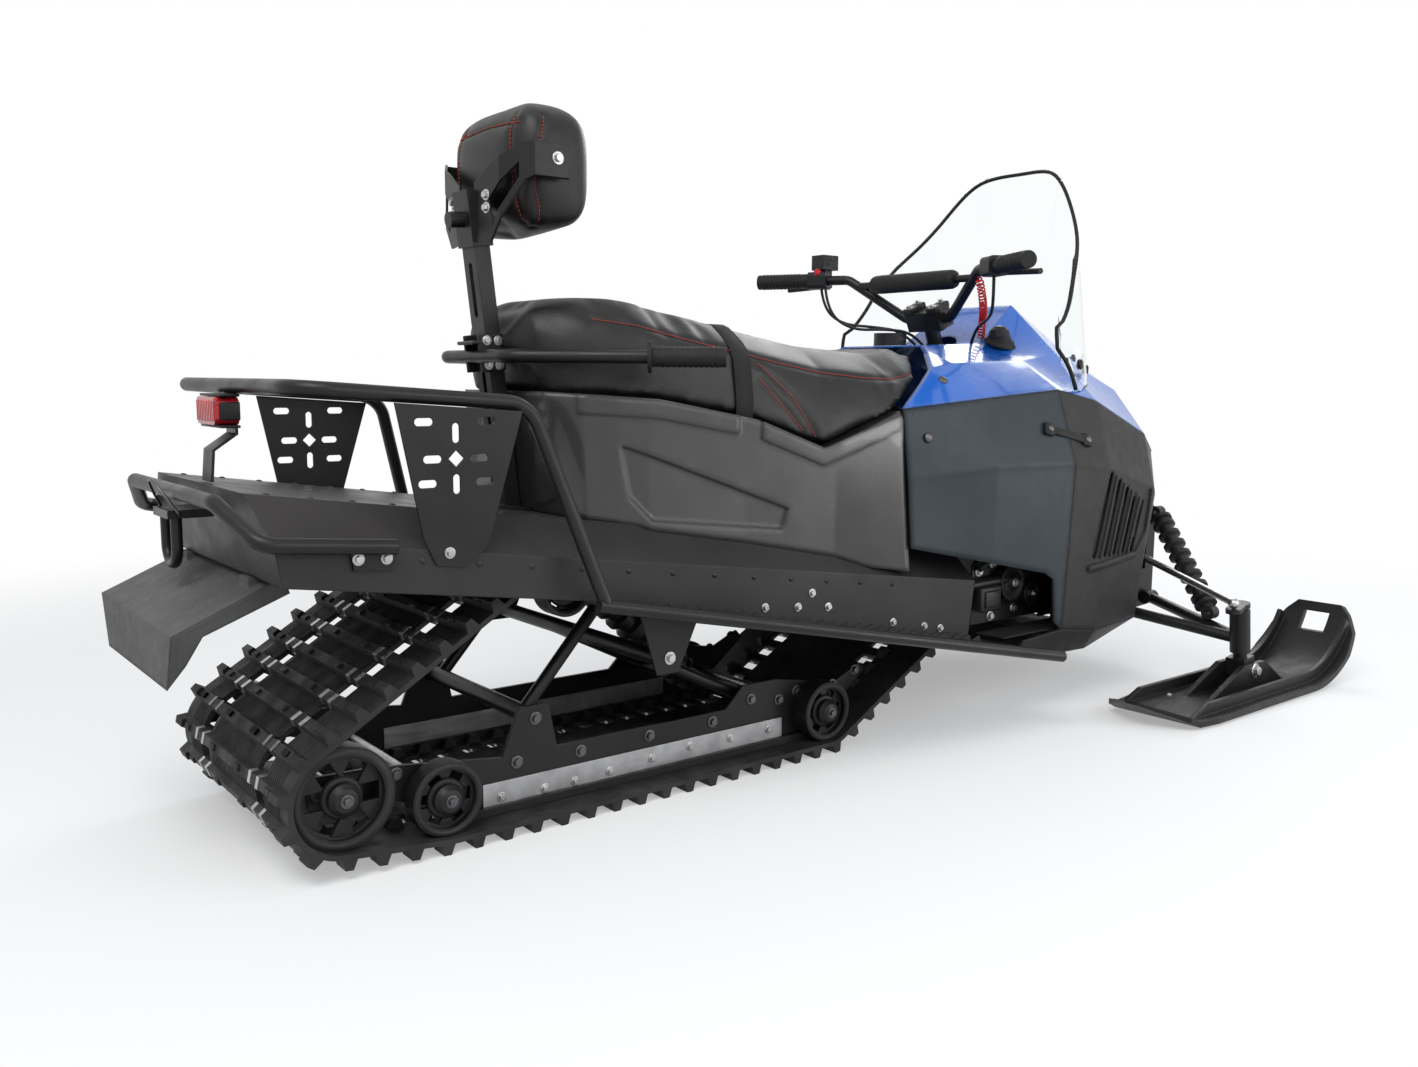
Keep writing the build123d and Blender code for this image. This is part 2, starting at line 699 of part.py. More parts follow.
def seat_loft(grow):
    faces = []
    for x, *half in SEAT_SECTIONS:
        right = [(w + grow, z + grow) for w, z in half]
        ring = right + [(-w, z) for w, z in reversed(right)]
        faces.append(Pos(x, 0, 0) * (Plane.YZ * make_face(Polyline(*ring, close=True))))
    return loft(faces, ruled=True)


def behind_hood():
    """The space behind the seat's front joint and ahead of its leaning back."""
    back = POST_X + POST_DEPTH / 2 + SEAT_GAP + 3
    lean = tan(radians(POST_LEAN))
    rise = 400
    shift = -SEAM / 2
    return side_prism([(back + (POST_Z - 300) * lean, 300), (back + (POST_Z - 1000) * lean, 1000),
                       (BODY_REAR + shift + rise * SEAT_SLOPE, SEAT_SEAM_Z + rise), (BODY_REAR + shift, SEAT_SEAM_Z),
                       (BODY_REAR + shift, 300)], -700, 700)


def cushion_prism(shift, top):
    line = [(x, z + shift) for x, z in CUSHION_LINE]
    return side_prism([(line[0][0], top)] + line + [(line[-1][0], top)], -700, 700)


def make_cushion():
    return seat_loft(0) & behind_hood() & cushion_prism(SEAM / 2, 1200)


def make_fairing():
    """The moulded base of the seat with an arrow-shaped recess and a raised lip under the cushion."""
    behind = behind_hood() & cushion_prism(-SEAM / 2, 200)
    body = seat_loft(0) & behind
    body -= (seat_loft(20) - seat_loft(-ARROW_DEPTH)) & side_prism(ARROW, -700, 700)
    rear, front = LIP_X
    strap = STRAP_W / 2 + 6
    band = Part()
    for start, end in ((rear, STRAP_X - strap), (STRAP_X + strap, front)):
        band += side_prism([(start, 200), (end, 200), (end, 1000), (start, 1000)], -700, 700)
    lip = (seat_loft(LIP_HEIGHT) - seat_loft(-2)) & behind & band & cushion_prism(-LIP_DEPTH, 1200)
    return body + lip - tunnel_envelope(SEAT_GAP)


STRAP_X = 745
STRAP_W = 38
STRAP_T = 3
STRAP_LOW = 610


def make_strap():
    band = seat_loft(SEAT_GAP + STRAP_T) - seat_loft(SEAT_GAP)
    return band & Pos(STRAP_X, 0, STRAP_LOW) * Box(STRAP_W, 900, 900, align=(Align.CENTER, Align.CENTER, Align.MIN))


def make_post():
    """The slotted backrest post with its foot on the tunnel."""
    low = -260
    align = (Align.CENTER, Align.CENTER, Align.MIN)
    post = Pos(0, 0, low) * Box(POST_DEPTH, POST_WIDTH, POST_TOP - low, align=align)
    post -= Pos(0, 0, low - 1) * Box(POST_DEPTH - 2 * POST_WALL, POST_WIDTH - 2 * POST_WALL, POST_TOP - low - 5,
                                     align=align)
    slot = extrude(Plane.YZ * SlotOverall(90, 12, rotation=90), POST_DEPTH, both=True)
    for z in (SLEEVE_LOW - 70, SLEEVE_LOW - 250):
        post -= Pos(0, 0, z) * slot
    post = POST * post
    foot_x = POST_X + (POST_Z - TUNNEL_Z) * tan(radians(POST_LEAN)) + 6
    foot = CHASSIS * Pos(foot_x - 16, 0, SEAT_GAP) * Box(74, 110, 5, align=align)
    behind = POST * Pos(POST_DEPTH / 2, 0, -400) * Box(200, 400, 800, align=(Align.MIN, Align.CENTER, Align.MIN))
    return (post - tunnel_envelope(SEAT_GAP)) + (foot - behind)


def make_bracket():
    """The sliding sleeve with the yoke that holds the pad's pivots."""
    align = (Align.CENTER, Align.CENTER, Align.MIN)
    out_x = POST_DEPTH + 2 * (PIN_GAP + SLEEVE_WALL)
    out_y = POST_WIDTH + 2 * (PIN_GAP + SLEEVE_WALL)
    height = SLEEVE_TOP - SLEEVE_LOW
    sleeve = POST * Pos(0, 0, SLEEVE_LOW) * (
        Box(out_x, out_y, height, align=align)
        - Box(POST_DEPTH + 2 * PIN_GAP, POST_WIDTH + 2 * PIN_GAP, height, align=align))
    knob = POST * Pos(-out_x / 2, 0, SLEEVE_LOW + height / 2) * Rot(0, -90, 0) * Cylinder(13, 26, align=align)
    x, z = PAD_PIVOT
    side = PAD_HALF + 12
    root_x = POST_X - (1000 - POST_Z) * tan(radians(POST_LEAN))
    line = Polyline((root_x - 4, out_y / 2 - 1), (root_x + 4, side * 0.62), (x - 40, side), (x + 22, side))
    strip = extrude(trace(line, SLEEVE_WALL), 260)
    low_z = POST_Z + SLEEVE_LOW
    profile = [(0, low_z + 6), (0, low_z + height - 6), (side * 0.5, z - 4), (side * 0.9, z + 22),
               (side + 20, z + 22), (side + 20, z - 22), (side * 0.9, z - 36), (side * 0.45, low_z)]
    wing = Pos(0, 0, low_z - 20) * strip & front_prism(profile, 0, 900)
    wing -= front_prism(WING_OPENING, 0, 900)
    pin = rod((x, PAD_HALF + SEAT_GAP, z), (x, side, z), 9)
    return sleeve + knob + pair(wing + pin)


def make_pad():
    """The backrest pad: a deep barrel, rounded in every view."""
    waist = (PAD_REAR + 10, PAD_LOW + 78)
    heel = (PAD_REAR + 27, PAD_LOW)
    toe = (PAD_FRONT - 34, PAD_LOW + 18)
    brow = (PAD_FRONT - 66, PAD_TOP)
    nape = (PAD_REAR + 54, PAD_TOP)
    side_view = make_face([
        Line(heel, toe), ThreePointArc(toe, (PAD_FRONT, PAD_LOW + 115), brow), Line(brow, nape),
        ThreePointArc(nape, (PAD_REAR, PAD_TOP - 76), waist), Line(waist, heel)])
    depth = PAD_FRONT - PAD_REAR
    height = PAD_TOP - PAD_LOW
    front = RectangleRounded(2 * PAD_HALF, height, PAD_CROWN)
    front += Pos(0, -height / 4) * RectangleRounded(2 * PAD_HALF, height / 2, PAD_FOOT)
    plan = RectangleRounded(depth, 2 * PAD_HALF, PAD_CORNER)
    middle = Pos((PAD_REAR + PAD_FRONT) / 2, 0, (PAD_LOW + PAD_TOP) / 2)
    block = extrude(Plane.XZ * side_view, PAD_HALF, both=True)
    block &= middle * extrude(Plane.YZ * front, depth, both=True)
    return block & middle * extrude(plan, height, both=True)


GRAB_Z = 744
GRAB_HALF = 112
GRAB_END = (609, 330)
GRIP_LENGTH = 125
GRIP_R = 16
GRIP_FLANGE_R = 26


def grab_rear():
    """Centre of the grab bar's cross tube, just behind the post."""
    lean = tan(radians(POST_LEAN))
    behind = POST_DEPTH / 2 / cos(radians(POST_LEAN)) + TUBE_R / cos(radians(POST_LEAN))
    return POST_X - (GRAB_Z - POST_Z) * lean - behind - SEAT_GAP


def make_grab_bar():
    rear = grab_rear()
    points = [(GRAB_END[0], -GRAB_END[1], GRAB_Z), (rear, -GRAB_HALF, GRAB_Z), (rear, GRAB_HALF, GRAB_Z),
              (GRAB_END[0], GRAB_END[1], GRAB_Z)]
    return bent_tube(points, TUBE_R, 40)


def sleeve_on(end, inward, length, radius, bore, flange):
    """A rubber grip on a tube's end."""
    start = Vector(*end)
    along = (Vector(*inward) - start).normalized()
    frame = Plane(origin=start - along * 3, z_dir=along)
    align = (Align.CENTER, Align.CENTER, Align.MIN)
    grip = Cylinder(radius, length, align=align)
    if flange:
        grip += Pos(0, 0, length - 6) * Cylinder(flange, 6, align=align)
    grip -= Pos(0, 0, 3 - RUN_GAP) * Cylinder(bore, length, align=align)
    return frame * grip


def make_grab_grips():
    end = (GRAB_END[0], -GRAB_END[1], GRAB_Z)
    inward = (grab_rear(), -GRAB_HALF, GRAB_Z)
    return pair(sleeve_on(end, inward, GRIP_LENGTH, GRIP_R, TUBE_R + RUN_GAP, GRIP_FLANGE_R))


LAMP_BRACKET_HALF = 22


def make_rack():
    """The rack hoop with the tail lamp's bracket."""
    foot = (BOARD * Pos(12, -BOARD_REAR_HALF - 1, 4)).position
    right = [(foot.X, foot.Y, foot.Z), (RACK_BEND[0], -RACK_HALF, RACK_BEND[1]), (RACK_REAR, -RACK_HALF, RACK_Z)]
    points = right + [(x, -y, z) for x, y, z in reversed(right)]
    hoop = bent_tube(points, TUBE_R, 55) - pair(BOARD * board_tube(BOARD_TUBE_R + SEAT_GAP))
    stand_x = TUNNEL_REAR + 16
    stand = CHASSIS * Pos(stand_x, 0, SEAT_GAP + 2)
    base = stand.position
    line = Polyline((RACK_REAR, RACK_Z - 4), (RACK_REAR, RACK_Z - 70), (base.X + 4, base.Z + 46), (base.X, base.Z))
    strip = Plane.XZ * trace(line, 4)
    strip = Pos(0, LAMP_BRACKET_HALF, 0) * extrude(strip, 2 * LAMP_BRACKET_HALF, dir=(0, -1, 0))
    return hoop + (strip - tunnel_envelope(SEAT_GAP))


def make_rack_plates():
    """Slotted side plates between the rack rails and the tunnel's sides."""
    outline = [(68, RACK_Z - 20), (RACK_BEND[0] - 20, RACK_Z - 34), (206, 468), (170, 440), (125, 446), (106, 486)]
    inner = TUNNEL_HALF + SEAT_GAP
    plate = side_prism(outline, -inner - RACK_PLATE_T, -inner)
    middle = (158, 596)
    slots = [(0, 36, 90), (0, -36, 90), (-36, 0, 0), (36, 0, 0), (-48, 52, 0), (48, 52, 0), (-44, -34, 0), (44, -34, 0)]
    for dx, dz, turn in slots:
        hole = extrude(Plane.XZ * SlotOverall(28, 11, rotation=turn), 400, both=True)
        plate -= Pos(middle[0] + dx, 0, middle[1] + dz) * hole
    diamond = extrude(Plane.XZ * RegularPolygon(12, 4), 400, both=True)
    plate -= Pos(middle[0], 0, middle[1]) * diamond
    return pair(plate)


def make_rear_bumper():
    """The rear bumper hoop with its bolted pads on the tunnel's sides."""
    y = TUNNEL_HALF + SEAT_GAP + 4 + TUBE_R
    foot_x, foot_z = BUMPER_FOOT
    right = [(foot_x, -y, foot_z), (BUMPER_BEND[0], -y, BUMPER_BEND[1]), (BUMPER_REAR, -BUMPER_HALF, BUMPER_Z)]
    points = right + [(x, -w, z) for x, w, z in reversed(right)]
    hoop = bent_tube(points, TUBE_R, 28)
    pad = side_prism([(foot_x - 62, foot_z + 4), (foot_x + 6, foot_z), (foot_x, foot_z - 34), (foot_x - 56, foot_z - 30)],
                     -TUNNEL_HALF - SEAT_GAP - 5, -TUNNEL_HALF - SEAT_GAP)
    return hoop + pair(pad)


def make_tail_lamp():
    lamp = Box(34, 92, 40)
    lamp = fillet(lamp.edges().filter_by(Axis.X), 12)
    return Pos(RACK_REAR - 2 - SEAT_GAP - 17, 0, RACK_Z - 36) * lamp


HITCH_BAR_R = 8
HITCH_GAP = 38


def make_hitch():
    """The towing loop on its bracket at the tunnel's rear panel."""
    half = HITCH_GAP / 2 + HITCH_BAR_R
    rear = CHASSIS * Pos(TUNNEL_REAR + TUNNEL_REAR_RAKE * 0.35, 0, -TUNNEL_SIDE_REAR * 0.35)
    x = rear.position.X - 46
    top = rear.position.Z
    loop = bent_tube([(x, -half, top), (x, -half, top - 74), (x, half, top - 74), (x, half, top)], HITCH_BAR_R, half - 0.5)
    plate = Pos(x - 14, 0, top) * Box(80, 2 * half + 24, 12, align=(Align.MIN, Align.CENTER, Align.CENTER))
    panel = CHASSIS * side_prism([(TUNNEL_REAR - SEAT_GAP, 0), (TUNNEL_REAR + TUNNEL_REAR_RAKE - SEAT_GAP, -TUNNEL_SIDE_REAR),
                                  (TUNNEL_REAR + 300, -TUNNEL_SIDE_REAR), (TUNNEL_REAR + 300, 0)], -200, 200)
    return loop + plate - panel


def flap_block(inset):
    """The drafted block that the flap's skin wraps, in the flap's own frame."""
    lip_x, lip_z = FLAP_LIP
    deep = -lip_z + 60
    taper = tan(radians(FLAP_DRAFT)) * deep
    half = FLAP_HALF - inset
    section = front_prism([(-half, -inset), (half, -inset), (half - taper, -inset - deep), (taper - half, -inset - deep)],
                          lip_x - 20, FLAP_LENGTH + 2 * inset)
    outline = [(inset, -inset), (FLAP_LENGTH + 2 * inset, -inset), (FLAP_LENGTH + 2 * inset, -FLAP_SKIRT - inset),
               (lip_x + FLAP_LIP_RUN + inset, -FLAP_SKIRT + 6 - inset), (lip_x + 34 + inset, lip_z + 20 - inset),
               (lip_x + inset, lip_z - inset)]
    return section & side_prism(outline, -FLAP_HALF, FLAP_HALF)


def make_flap():
    """The snow flap: a drafted skin with a turned-down lip and side skirts, hung on two tabs."""
    frame = Pos(FLAP_REAR, 0, FLAP_Z) * Rot(0, -FLAP_PITCH, 0)
    skin = frame * (flap_block(0) - flap_block(FLAP_T))
    under = CHASSIS * Pos(TUNNEL_REAR + TUNNEL_REAR_RAKE, 0, -TUNNEL_SIDE_REAR - SEAT_GAP)
    tab = Box(24, 40, 60, align=(Align.CENTER, Align.CENTER, Align.MAX))
    tab = Pos(under.position.X + 4, 0, under.position.Z) * tab
    top_skin = frame * Pos(0, 0, -1) * Box(600, 900, 300, align=(Align.CENTER, Align.CENTER, Align.MAX))
    tunnel_side = CHASSIS * side_prism(
        [(TUNNEL_REAR - 50, -TUNNEL_SIDE_REAR - SEAT_GAP), (BOARD_START, board_line(BOARD_START) - SEAT_GAP),
         (BOARD_START, 200), (TUNNEL_REAR - 50, 200)], -400, 400)
    tabs = pair(Pos(0, -FLAP_HALF + 50, 0) * tab) - top_skin - tunnel_side
    return skin + tabs


# Side sheets of the front frame behind the body's side opening, in side view
FRAME_SHEET = [(1330, 205), (1330, 330), (1400, 430), (1550, 440), (1575, 360), (1575, 205)]
FRAME_SHEET_T = 4


def make_front_frame():
    """The bulkhead box, engine cradle, side tubes and the hoop that carries the column bearing."""
    x0, x1 = BULK_X
    z0, z1 = BULK_Z
    wall = 5
    outline = [(x0, z0), (x1, z0 + 15), (x1, z1 - 50), (x1 - 20, z1), (x0 + 40, z1), (x0, z1 - 60)]
    box = side_prism(outline, -BULK_HALF, BULK_HALF)
    box -= side_prism([(x0 - 1, z0 + wall), (x1 - wall, z0 + 15 + wall), (x1 - wall, z1 + 1),
                       (x0 - 1, z1 + 1)], -BULK_HALF + wall, BULK_HALF - wall)
    tie_x, _, tie_z = TIE_INNER
    window = Box(100, 4 * BULK_HALF, 84)
    box -= Pos(tie_x - 12, 0, tie_z - 4) * window
    cradle = Box(x0 - 1480 + wall, 2 * BULK_HALF - wall, 6, align=(Align.MIN, Align.CENTER, Align.MIN))
    frame = box + Pos(1480, 0, CRADLE_Z) * cradle
    front = CHASSIS * Pos(TUNNEL_FRONT - 40, 0, 0)
    tunnel_y = TUNNEL_HALF - TUNNEL_SHEET - SEAT_GAP - 12
    joint = (x0 + 2, -BULK_HALF + 10, 300)
    knee = (BEARING_X, -tunnel_y, 300)
    tail = (front.position.X, -tunnel_y, 290)
    side = rod(joint, knee, 12) + Pos(*knee) * Sphere(12) + rod(knee, tail, 12)
    shoulder = (knee[0], knee[1] + 20, BEARING_Z - 40)
    hoop = bent_tube([knee, shoulder, (BEARING_X, -COLUMN_R - 6, BEARING_Z)], 9, 30)
    sheet = side_prism(FRAME_SHEET, -tunnel_y + 12 - FRAME_SHEET_T, -tunnel_y + 12)
    frame += pair(side + hoop + sheet)
    low = column_axis_point(BEARING_Z - 30)
    top = column_axis_point(BEARING_Z + 30)
    frame += rod(low, top, COLUMN_R + 10)
    bore = rod(column_axis_point(BEARING_Z - 90), column_axis_point(BEARING_Z + 90), COLUMN_R + PIN_GAP)
    return frame - bore


BEARING_X = column_axis_point(BEARING_Z)[0]
CRADLE_Z = 182
ENGINE_X = (1570, 1850)
ENGINE_HALF = 150
ENGINE_TOP = 430


def make_engine():
    """The engine and gearbox as one plain block on its cradle."""
    base = CRADLE_Z + 6 + SEAT_GAP
    block = Box(ENGINE_X[1] - ENGINE_X[0], 2 * ENGINE_HALF, ENGINE_TOP - base,
                align=(Align.MIN, Align.CENTER, Align.MIN))
    block = Pos(ENGINE_X[0], 0, base) * block
    return chamfer(block.edges().filter_by(Axis.Y).sort_by(Axis.Z)[-2:], 40)


def make_front_bumper():
    x = BULK_X[1] + SEAT_GAP
    y = BULK_HALF - 25
    points = [(x, -y, 215), (x + 34, -y, 300), (x + 34, y, 300), (x, y, 215)]
    hoop = bent_tube(points, TUBE_R, 40)
    return hoop - Pos(x, 0, 0) * Box(60, 600, 800, align=(Align.MAX, Align.CENTER, Align.MIN))


def kingpin(side):
    """Frame of the right (-1) or left (1) king pin, its origin on the snow."""
    return Pos(KINGPIN_X, side * SKI_Y, 0) * Rot(0, -CASTER, 0)


def ball_centre(side):
    """Centre of the tie rod's outer ball."""
    local = Pos(STEER_ARM[0], side * -STEER_ARM[1], STEER_ARM_Z[1] + BALL_R + RUN_GAP)
    return (kingpin(side) * local).position


def make_lower_arms():
    """The lower wishbones with the king pin sleeves."""
    align = (Align.CENTER, Align.CENTER, Align.MIN)
    frame = kingpin(-1)
    z0, z1 = SLEEVE_SPAN
    sleeve = frame * Pos(0, 0, z0) * Cylinder(SLEEVE_R, z1 - z0, align=align)
    end = (frame * Pos(0, 0, z0 + 30)).position
    eye_y = BULK_HALF + SEAT_GAP + 16
    arm = sleeve
    for x, z in ((BULK_X[0] + 50, 165), (BULK_X[1] - 40, 172)):
        arm += rod((x, -eye_y, z), (end.X, end.Y, end.Z), 13)
        arm += rod((x - 20, -eye_y, z), (x + 20, -eye_y, z), 16)
    arm -= frame * Pos(0, 0, z0 - 20) * Cylinder(KINGPIN_R + PIN_GAP, z1 - z0 + 60, align=align)
    return pair(arm)


SHOCK_TOP = (2118, 385)
SHOCK_LOW_Y = 405


def make_front_shocks():
    eye_r = 16
    top = (SHOCK_TOP[0], -BULK_HALF - SEAT_GAP - eye_r, SHOCK_TOP[1])
    frame = kingpin(-1)
    end = (frame * Pos(0, 0, SLEEVE_SPAN[0] + 30)).position
    root_y = BULK_HALF + SEAT_GAP + 16
    share = (SHOCK_LOW_Y - root_y) / (-end.Y - root_y)
    root_x, root_z = BULK_X[1] - 40, 172
    low = (root_x + share * (end.X - root_x), -SHOCK_LOW_Y, root_z + share * (end.Z - root_z) + 13 + RUN_GAP + eye_r)
    return pair(make_coil_shock(low, top, 13, 26, 8, eye_r, 6, (1, 0, 0)))


def make_spindle(side):
    """The king pin with its steering arm above and ski fork below."""
    align = (Align.CENTER, Align.CENTER, Align.MIN)
    frame = kingpin(side)
    z0, z1 = STEER_ARM_Z
    pin = Cylinder(KINGPIN_R, z1 - 60, align=align)
    spindle = Pos(0, 0, 60) * pin
    arm_x, arm_y = STEER_ARM[0], side * -STEER_ARM[1]
    turn = degrees(atan2(arm_y, arm_x))
    reach = hypot(arm_x, arm_y)
    arm = Pos(arm_x / 2, arm_y / 2, z0) * Rot(0, 0, turn) * Box(reach, 34, z1 - z0, align=align)
    arm += Pos(0, 0, z0) * Cylinder(22, z1 - z0, align=align)
    arm += Pos(arm_x, arm_y, z0) * Cylinder(17, z1 - z0, align=align)
    fork = Pos(0, 0, 42) * Box(46, FORK_WIDTH, 48, align=align)
    fork = fillet(fork.edges().filter_by(Axis.Y).group_by(Axis.Z)[0], 12)
    return frame * (spindle + arm + fork)


FORK_WIDTH = 44
SADDLE_T = 12
SADDLE_TOP = 78
KEEL = 6


def curl_point(radius, turn):
    """A point on the ski's upturned toe: radius about the curl's centre, angle from straight down."""
    return (SKI_TOE + radius * sin(radians(turn)), KEEL + SKI_CURL_R - radius * cos(radians(turn)))


def curl_arc(radius, start, end):
    return ThreePointArc(curl_point(radius, start), curl_point(radius, (start + end) / 2), curl_point(radius, end))


def make_ski(side):
    """A wide ski: curled toe with a loop opening, kicked tail, side ribs and saddle cheeks."""
    half = SKI_WIDTH / 2
    deck = KEEL + SKI_T
    inner = SKI_CURL_R - SKI_T
    face = make_face([
        Polyline((SKI_REAR, SKI_TAIL_Z), (SKI_HEEL, KEEL), (SKI_TOE, KEEL)),
        curl_arc(SKI_CURL_R, 0, SKI_CURL),
        Line(curl_point(SKI_CURL_R, SKI_CURL), curl_point(inner, SKI_CURL)),
        curl_arc(inner, SKI_CURL, 0),
        Polyline((SKI_TOE, deck), (SKI_HEEL, deck), (SKI_REAR, SKI_TAIL_Z + 6), (SKI_REAR, SKI_TAIL_Z))])
    body = extrude(Plane.XZ * face, half, both=True)
    front = SKI_TOE + SKI_CURL_R
    plan = [(SKI_REAR, 14), (SKI_HEEL - 30, half - 12), (SKI_HEEL + 60, half), (front, half)]
    body &= plan_prism(plan + [(x, -y) for x, y in reversed(plan)], -10, 300)
    bow = [(half, -10), (half, 64), (half - 10, 112), (half - 34, 150), (half - 62, 178)]
    body &= front_prism(bow + [(-y, z) for y, z in reversed(bow)], SKI_REAR - 10, front)
    low, top = SKI_LOOP_Z
    loop = [(-SKI_LOOP_HALF, low), (SKI_LOOP_HALF, low), (SKI_LOOP_HALF, top), (-SKI_LOOP_HALF, top)]
    body -= front_prism(loop, SKI_TOE + SKI_CURL_R / 2, front)
    base = deck - 2
    crest = inner - SKI_RIB_HEIGHT
    rib = make_face([
        Polyline((SKI_HEEL - 10, base), (SKI_HEEL + 60, deck + SKI_RIB_HEIGHT), (SKI_TOE, deck + SKI_RIB_HEIGHT)),
        curl_arc(crest, 0, SKI_RIB_CURL),
        Line(curl_point(crest, SKI_RIB_CURL), curl_point(inner + 2, SKI_RIB_CURL)),
        curl_arc(inner + 2, SKI_RIB_CURL, 0),
        Line((SKI_TOE, base), (SKI_HEEL - 10, base))])
    rib = Pos(0, half - 24, 0) * extrude(Plane.XZ * rib, SKI_RIB_T, dir=(0, -1, 0))
    cheek_y = FORK_WIDTH / 2 + SEAT_GAP
    saddle_x = KINGPIN_X - 8
    cheek = side_prism([(saddle_x - 190, base), (saddle_x - 46, SADDLE_TOP), (saddle_x + 46, SADDLE_TOP),
                        (saddle_x + 140, base)], cheek_y, cheek_y + SADDLE_T)
    keel = Pos((SKI_HEEL + SKI_TOE) / 2, 0, 0) * Box(SKI_TOE - SKI_HEEL - 60, 12, KEEL + 2,
                                                     align=(Align.CENTER, Align.CENTER, Align.MIN))
    return Pos(0, side * SKI_Y, 0) * (body + pair(rib) + pair(cheek) + keel)


def make_tie_rod(side):
    outer = ball_centre(side)
    inner = (TIE_INNER[0], side * TIE_INNER[1], TIE_INNER[2])
    return rod(outer, inner, TIE_ROD_R) + Pos(*outer) * Sphere(BALL_R) + Pos(*inner) * Sphere(BALL_R - 1)


BAR_TOP_HALF = 190
BAR_TOP_SWEEP = 65
BAR_LOW_HALF = 62
PAD_BAR_HALF = 120
PAD_BAR_R = 21
CROSSBAR_R = 8
CONTROL_LENGTH = 44
HAND_GRIP_LENGTH = 128
HAND_GRIP_R = 17


def bar_points():
    """Right grip end, right shoulder and right clamp point of the handlebar."""
    end = (CLAMP_X - BAR_SWEEP, -BAR_HALF, CLAMP_Z + BAR_RISE)
    shoulder = (CLAMP_X - BAR_TOP_SWEEP, -BAR_TOP_HALF, CLAMP_Z + BAR_RISE)
    low = (CLAMP_X, -BAR_LOW_HALF, CLAMP_Z)
    return end, shoulder, low


def crossbar_place():
    _, shoulder, low = bar_points()
    share = 0.16
    return [s + share * (l - s) for s, l in zip(shoulder, low)]


def make_handlebar():
    """The bent bar, its crossbar, riser clamp and raked column."""
    right = list(bar_points())
    points = right + [(x, -y, z) for x, y, z in reversed(right)]
    bar = bent_tube(points, TUBE_R, 34)
    x, y, z = crossbar_place()
    bar += rod((x, y, z), (x, -y, z), CROSSBAR_R)
    frame = Pos(CLAMP_X, 0, CLAMP_Z) * Rot(0, -COLUMN_RAKE, 0)
    clamp = Box(44, 2 * BAR_LOW_HALF - 28, 44)
    bar += frame * clamp
    bar += rod(column_axis_point(COLUMN_LOW), column_axis_point(CLAMP_Z - 10), COLUMN_R)
    return bar


def make_bar_pad():
    x, _, z = crossbar_place()
    pad = cross_bar(x, z, PAD_BAR_HALF, PAD_BAR_R)
    pad = chamfer(pad.edges().filter_by(GeomType.CIRCLE), 6)
    return pad - cross_bar(x, z, PAD_BAR_HALF + 20, CROSSBAR_R + RUN_GAP)


def make_hand_grips():
    end, shoulder, _ = bar_points()
    return pair(sleeve_on(end, shoulder, HAND_GRIP_LENGTH, HAND_GRIP_R, TUBE_R + RUN_GAP, 0))


def make_controls():
    """Switch blocks with hand levers, and the brake reservoir on the left."""
    end, shoulder, _ = bar_points()
    start = Vector(*end)
    along = (Vector(*shoulder) - start).normalized()
    at = start + along * (HAND_GRIP_LENGTH - 3 + CONTROL_LENGTH / 2 + 2)
    frame = Plane(origin=at, x_dir=(0, 0, 1), z_dir=along)
    block = Box(40, 44, CONTROL_LENGTH)
    block = fillet(block.edges().filter_by(Axis.Z), 10)
    ahead = at + Vector(34, 0, -10)
    block = frame * block
    lever_end = ahead + Vector(-30, -110, -6)
    lever = rod(ahead, lever_end, 6) + rod(at + Vector(10, 0, -6), ahead, 7) + Pos(*ahead) * Sphere(7)
    bore = rod(start - along * 10, Vector(*shoulder), TUBE_R + RUN_GAP)
    right = block + lever - bore
    tank = Pos(at.X + 18, -at.Y, at.Z + 42) * Box(48, 40, 34)
    stem = Pos(at.X + 18, -at.Y, at.Z + 16) * Box(24, 24, 26)
    left = mirrored(block + lever) + tank + stem - mirrored(bore)
    return right + left


GEAR_KNOB_R = 24


def make_gear_lever(envelope):
    """The gear lever with a turned knob."""
    knob = (1531, -150, 806)
    foot = (1540, -158, 700)
    rings = [(GEAR_KNOB_R * sin(radians(30 * i)), -GEAR_KNOB_R * cos(radians(30 * i))) for i in range(7)]
    ball = revolve(Plane.XZ * make_face(Polyline(*rings, close=True)), Axis.Z)
    return rod(foot, knob, 6) + Pos(*knob) * ball - envelope


def make_fuel_cap(envelope):
    cap = Pos(1378, 30, 700) * Cylinder(36, 112, align=(Align.CENTER, Align.CENTER, Align.MIN))
    return cap - envelope


shell = body_shell()
envelope = body_loft(SEAT_GAP)

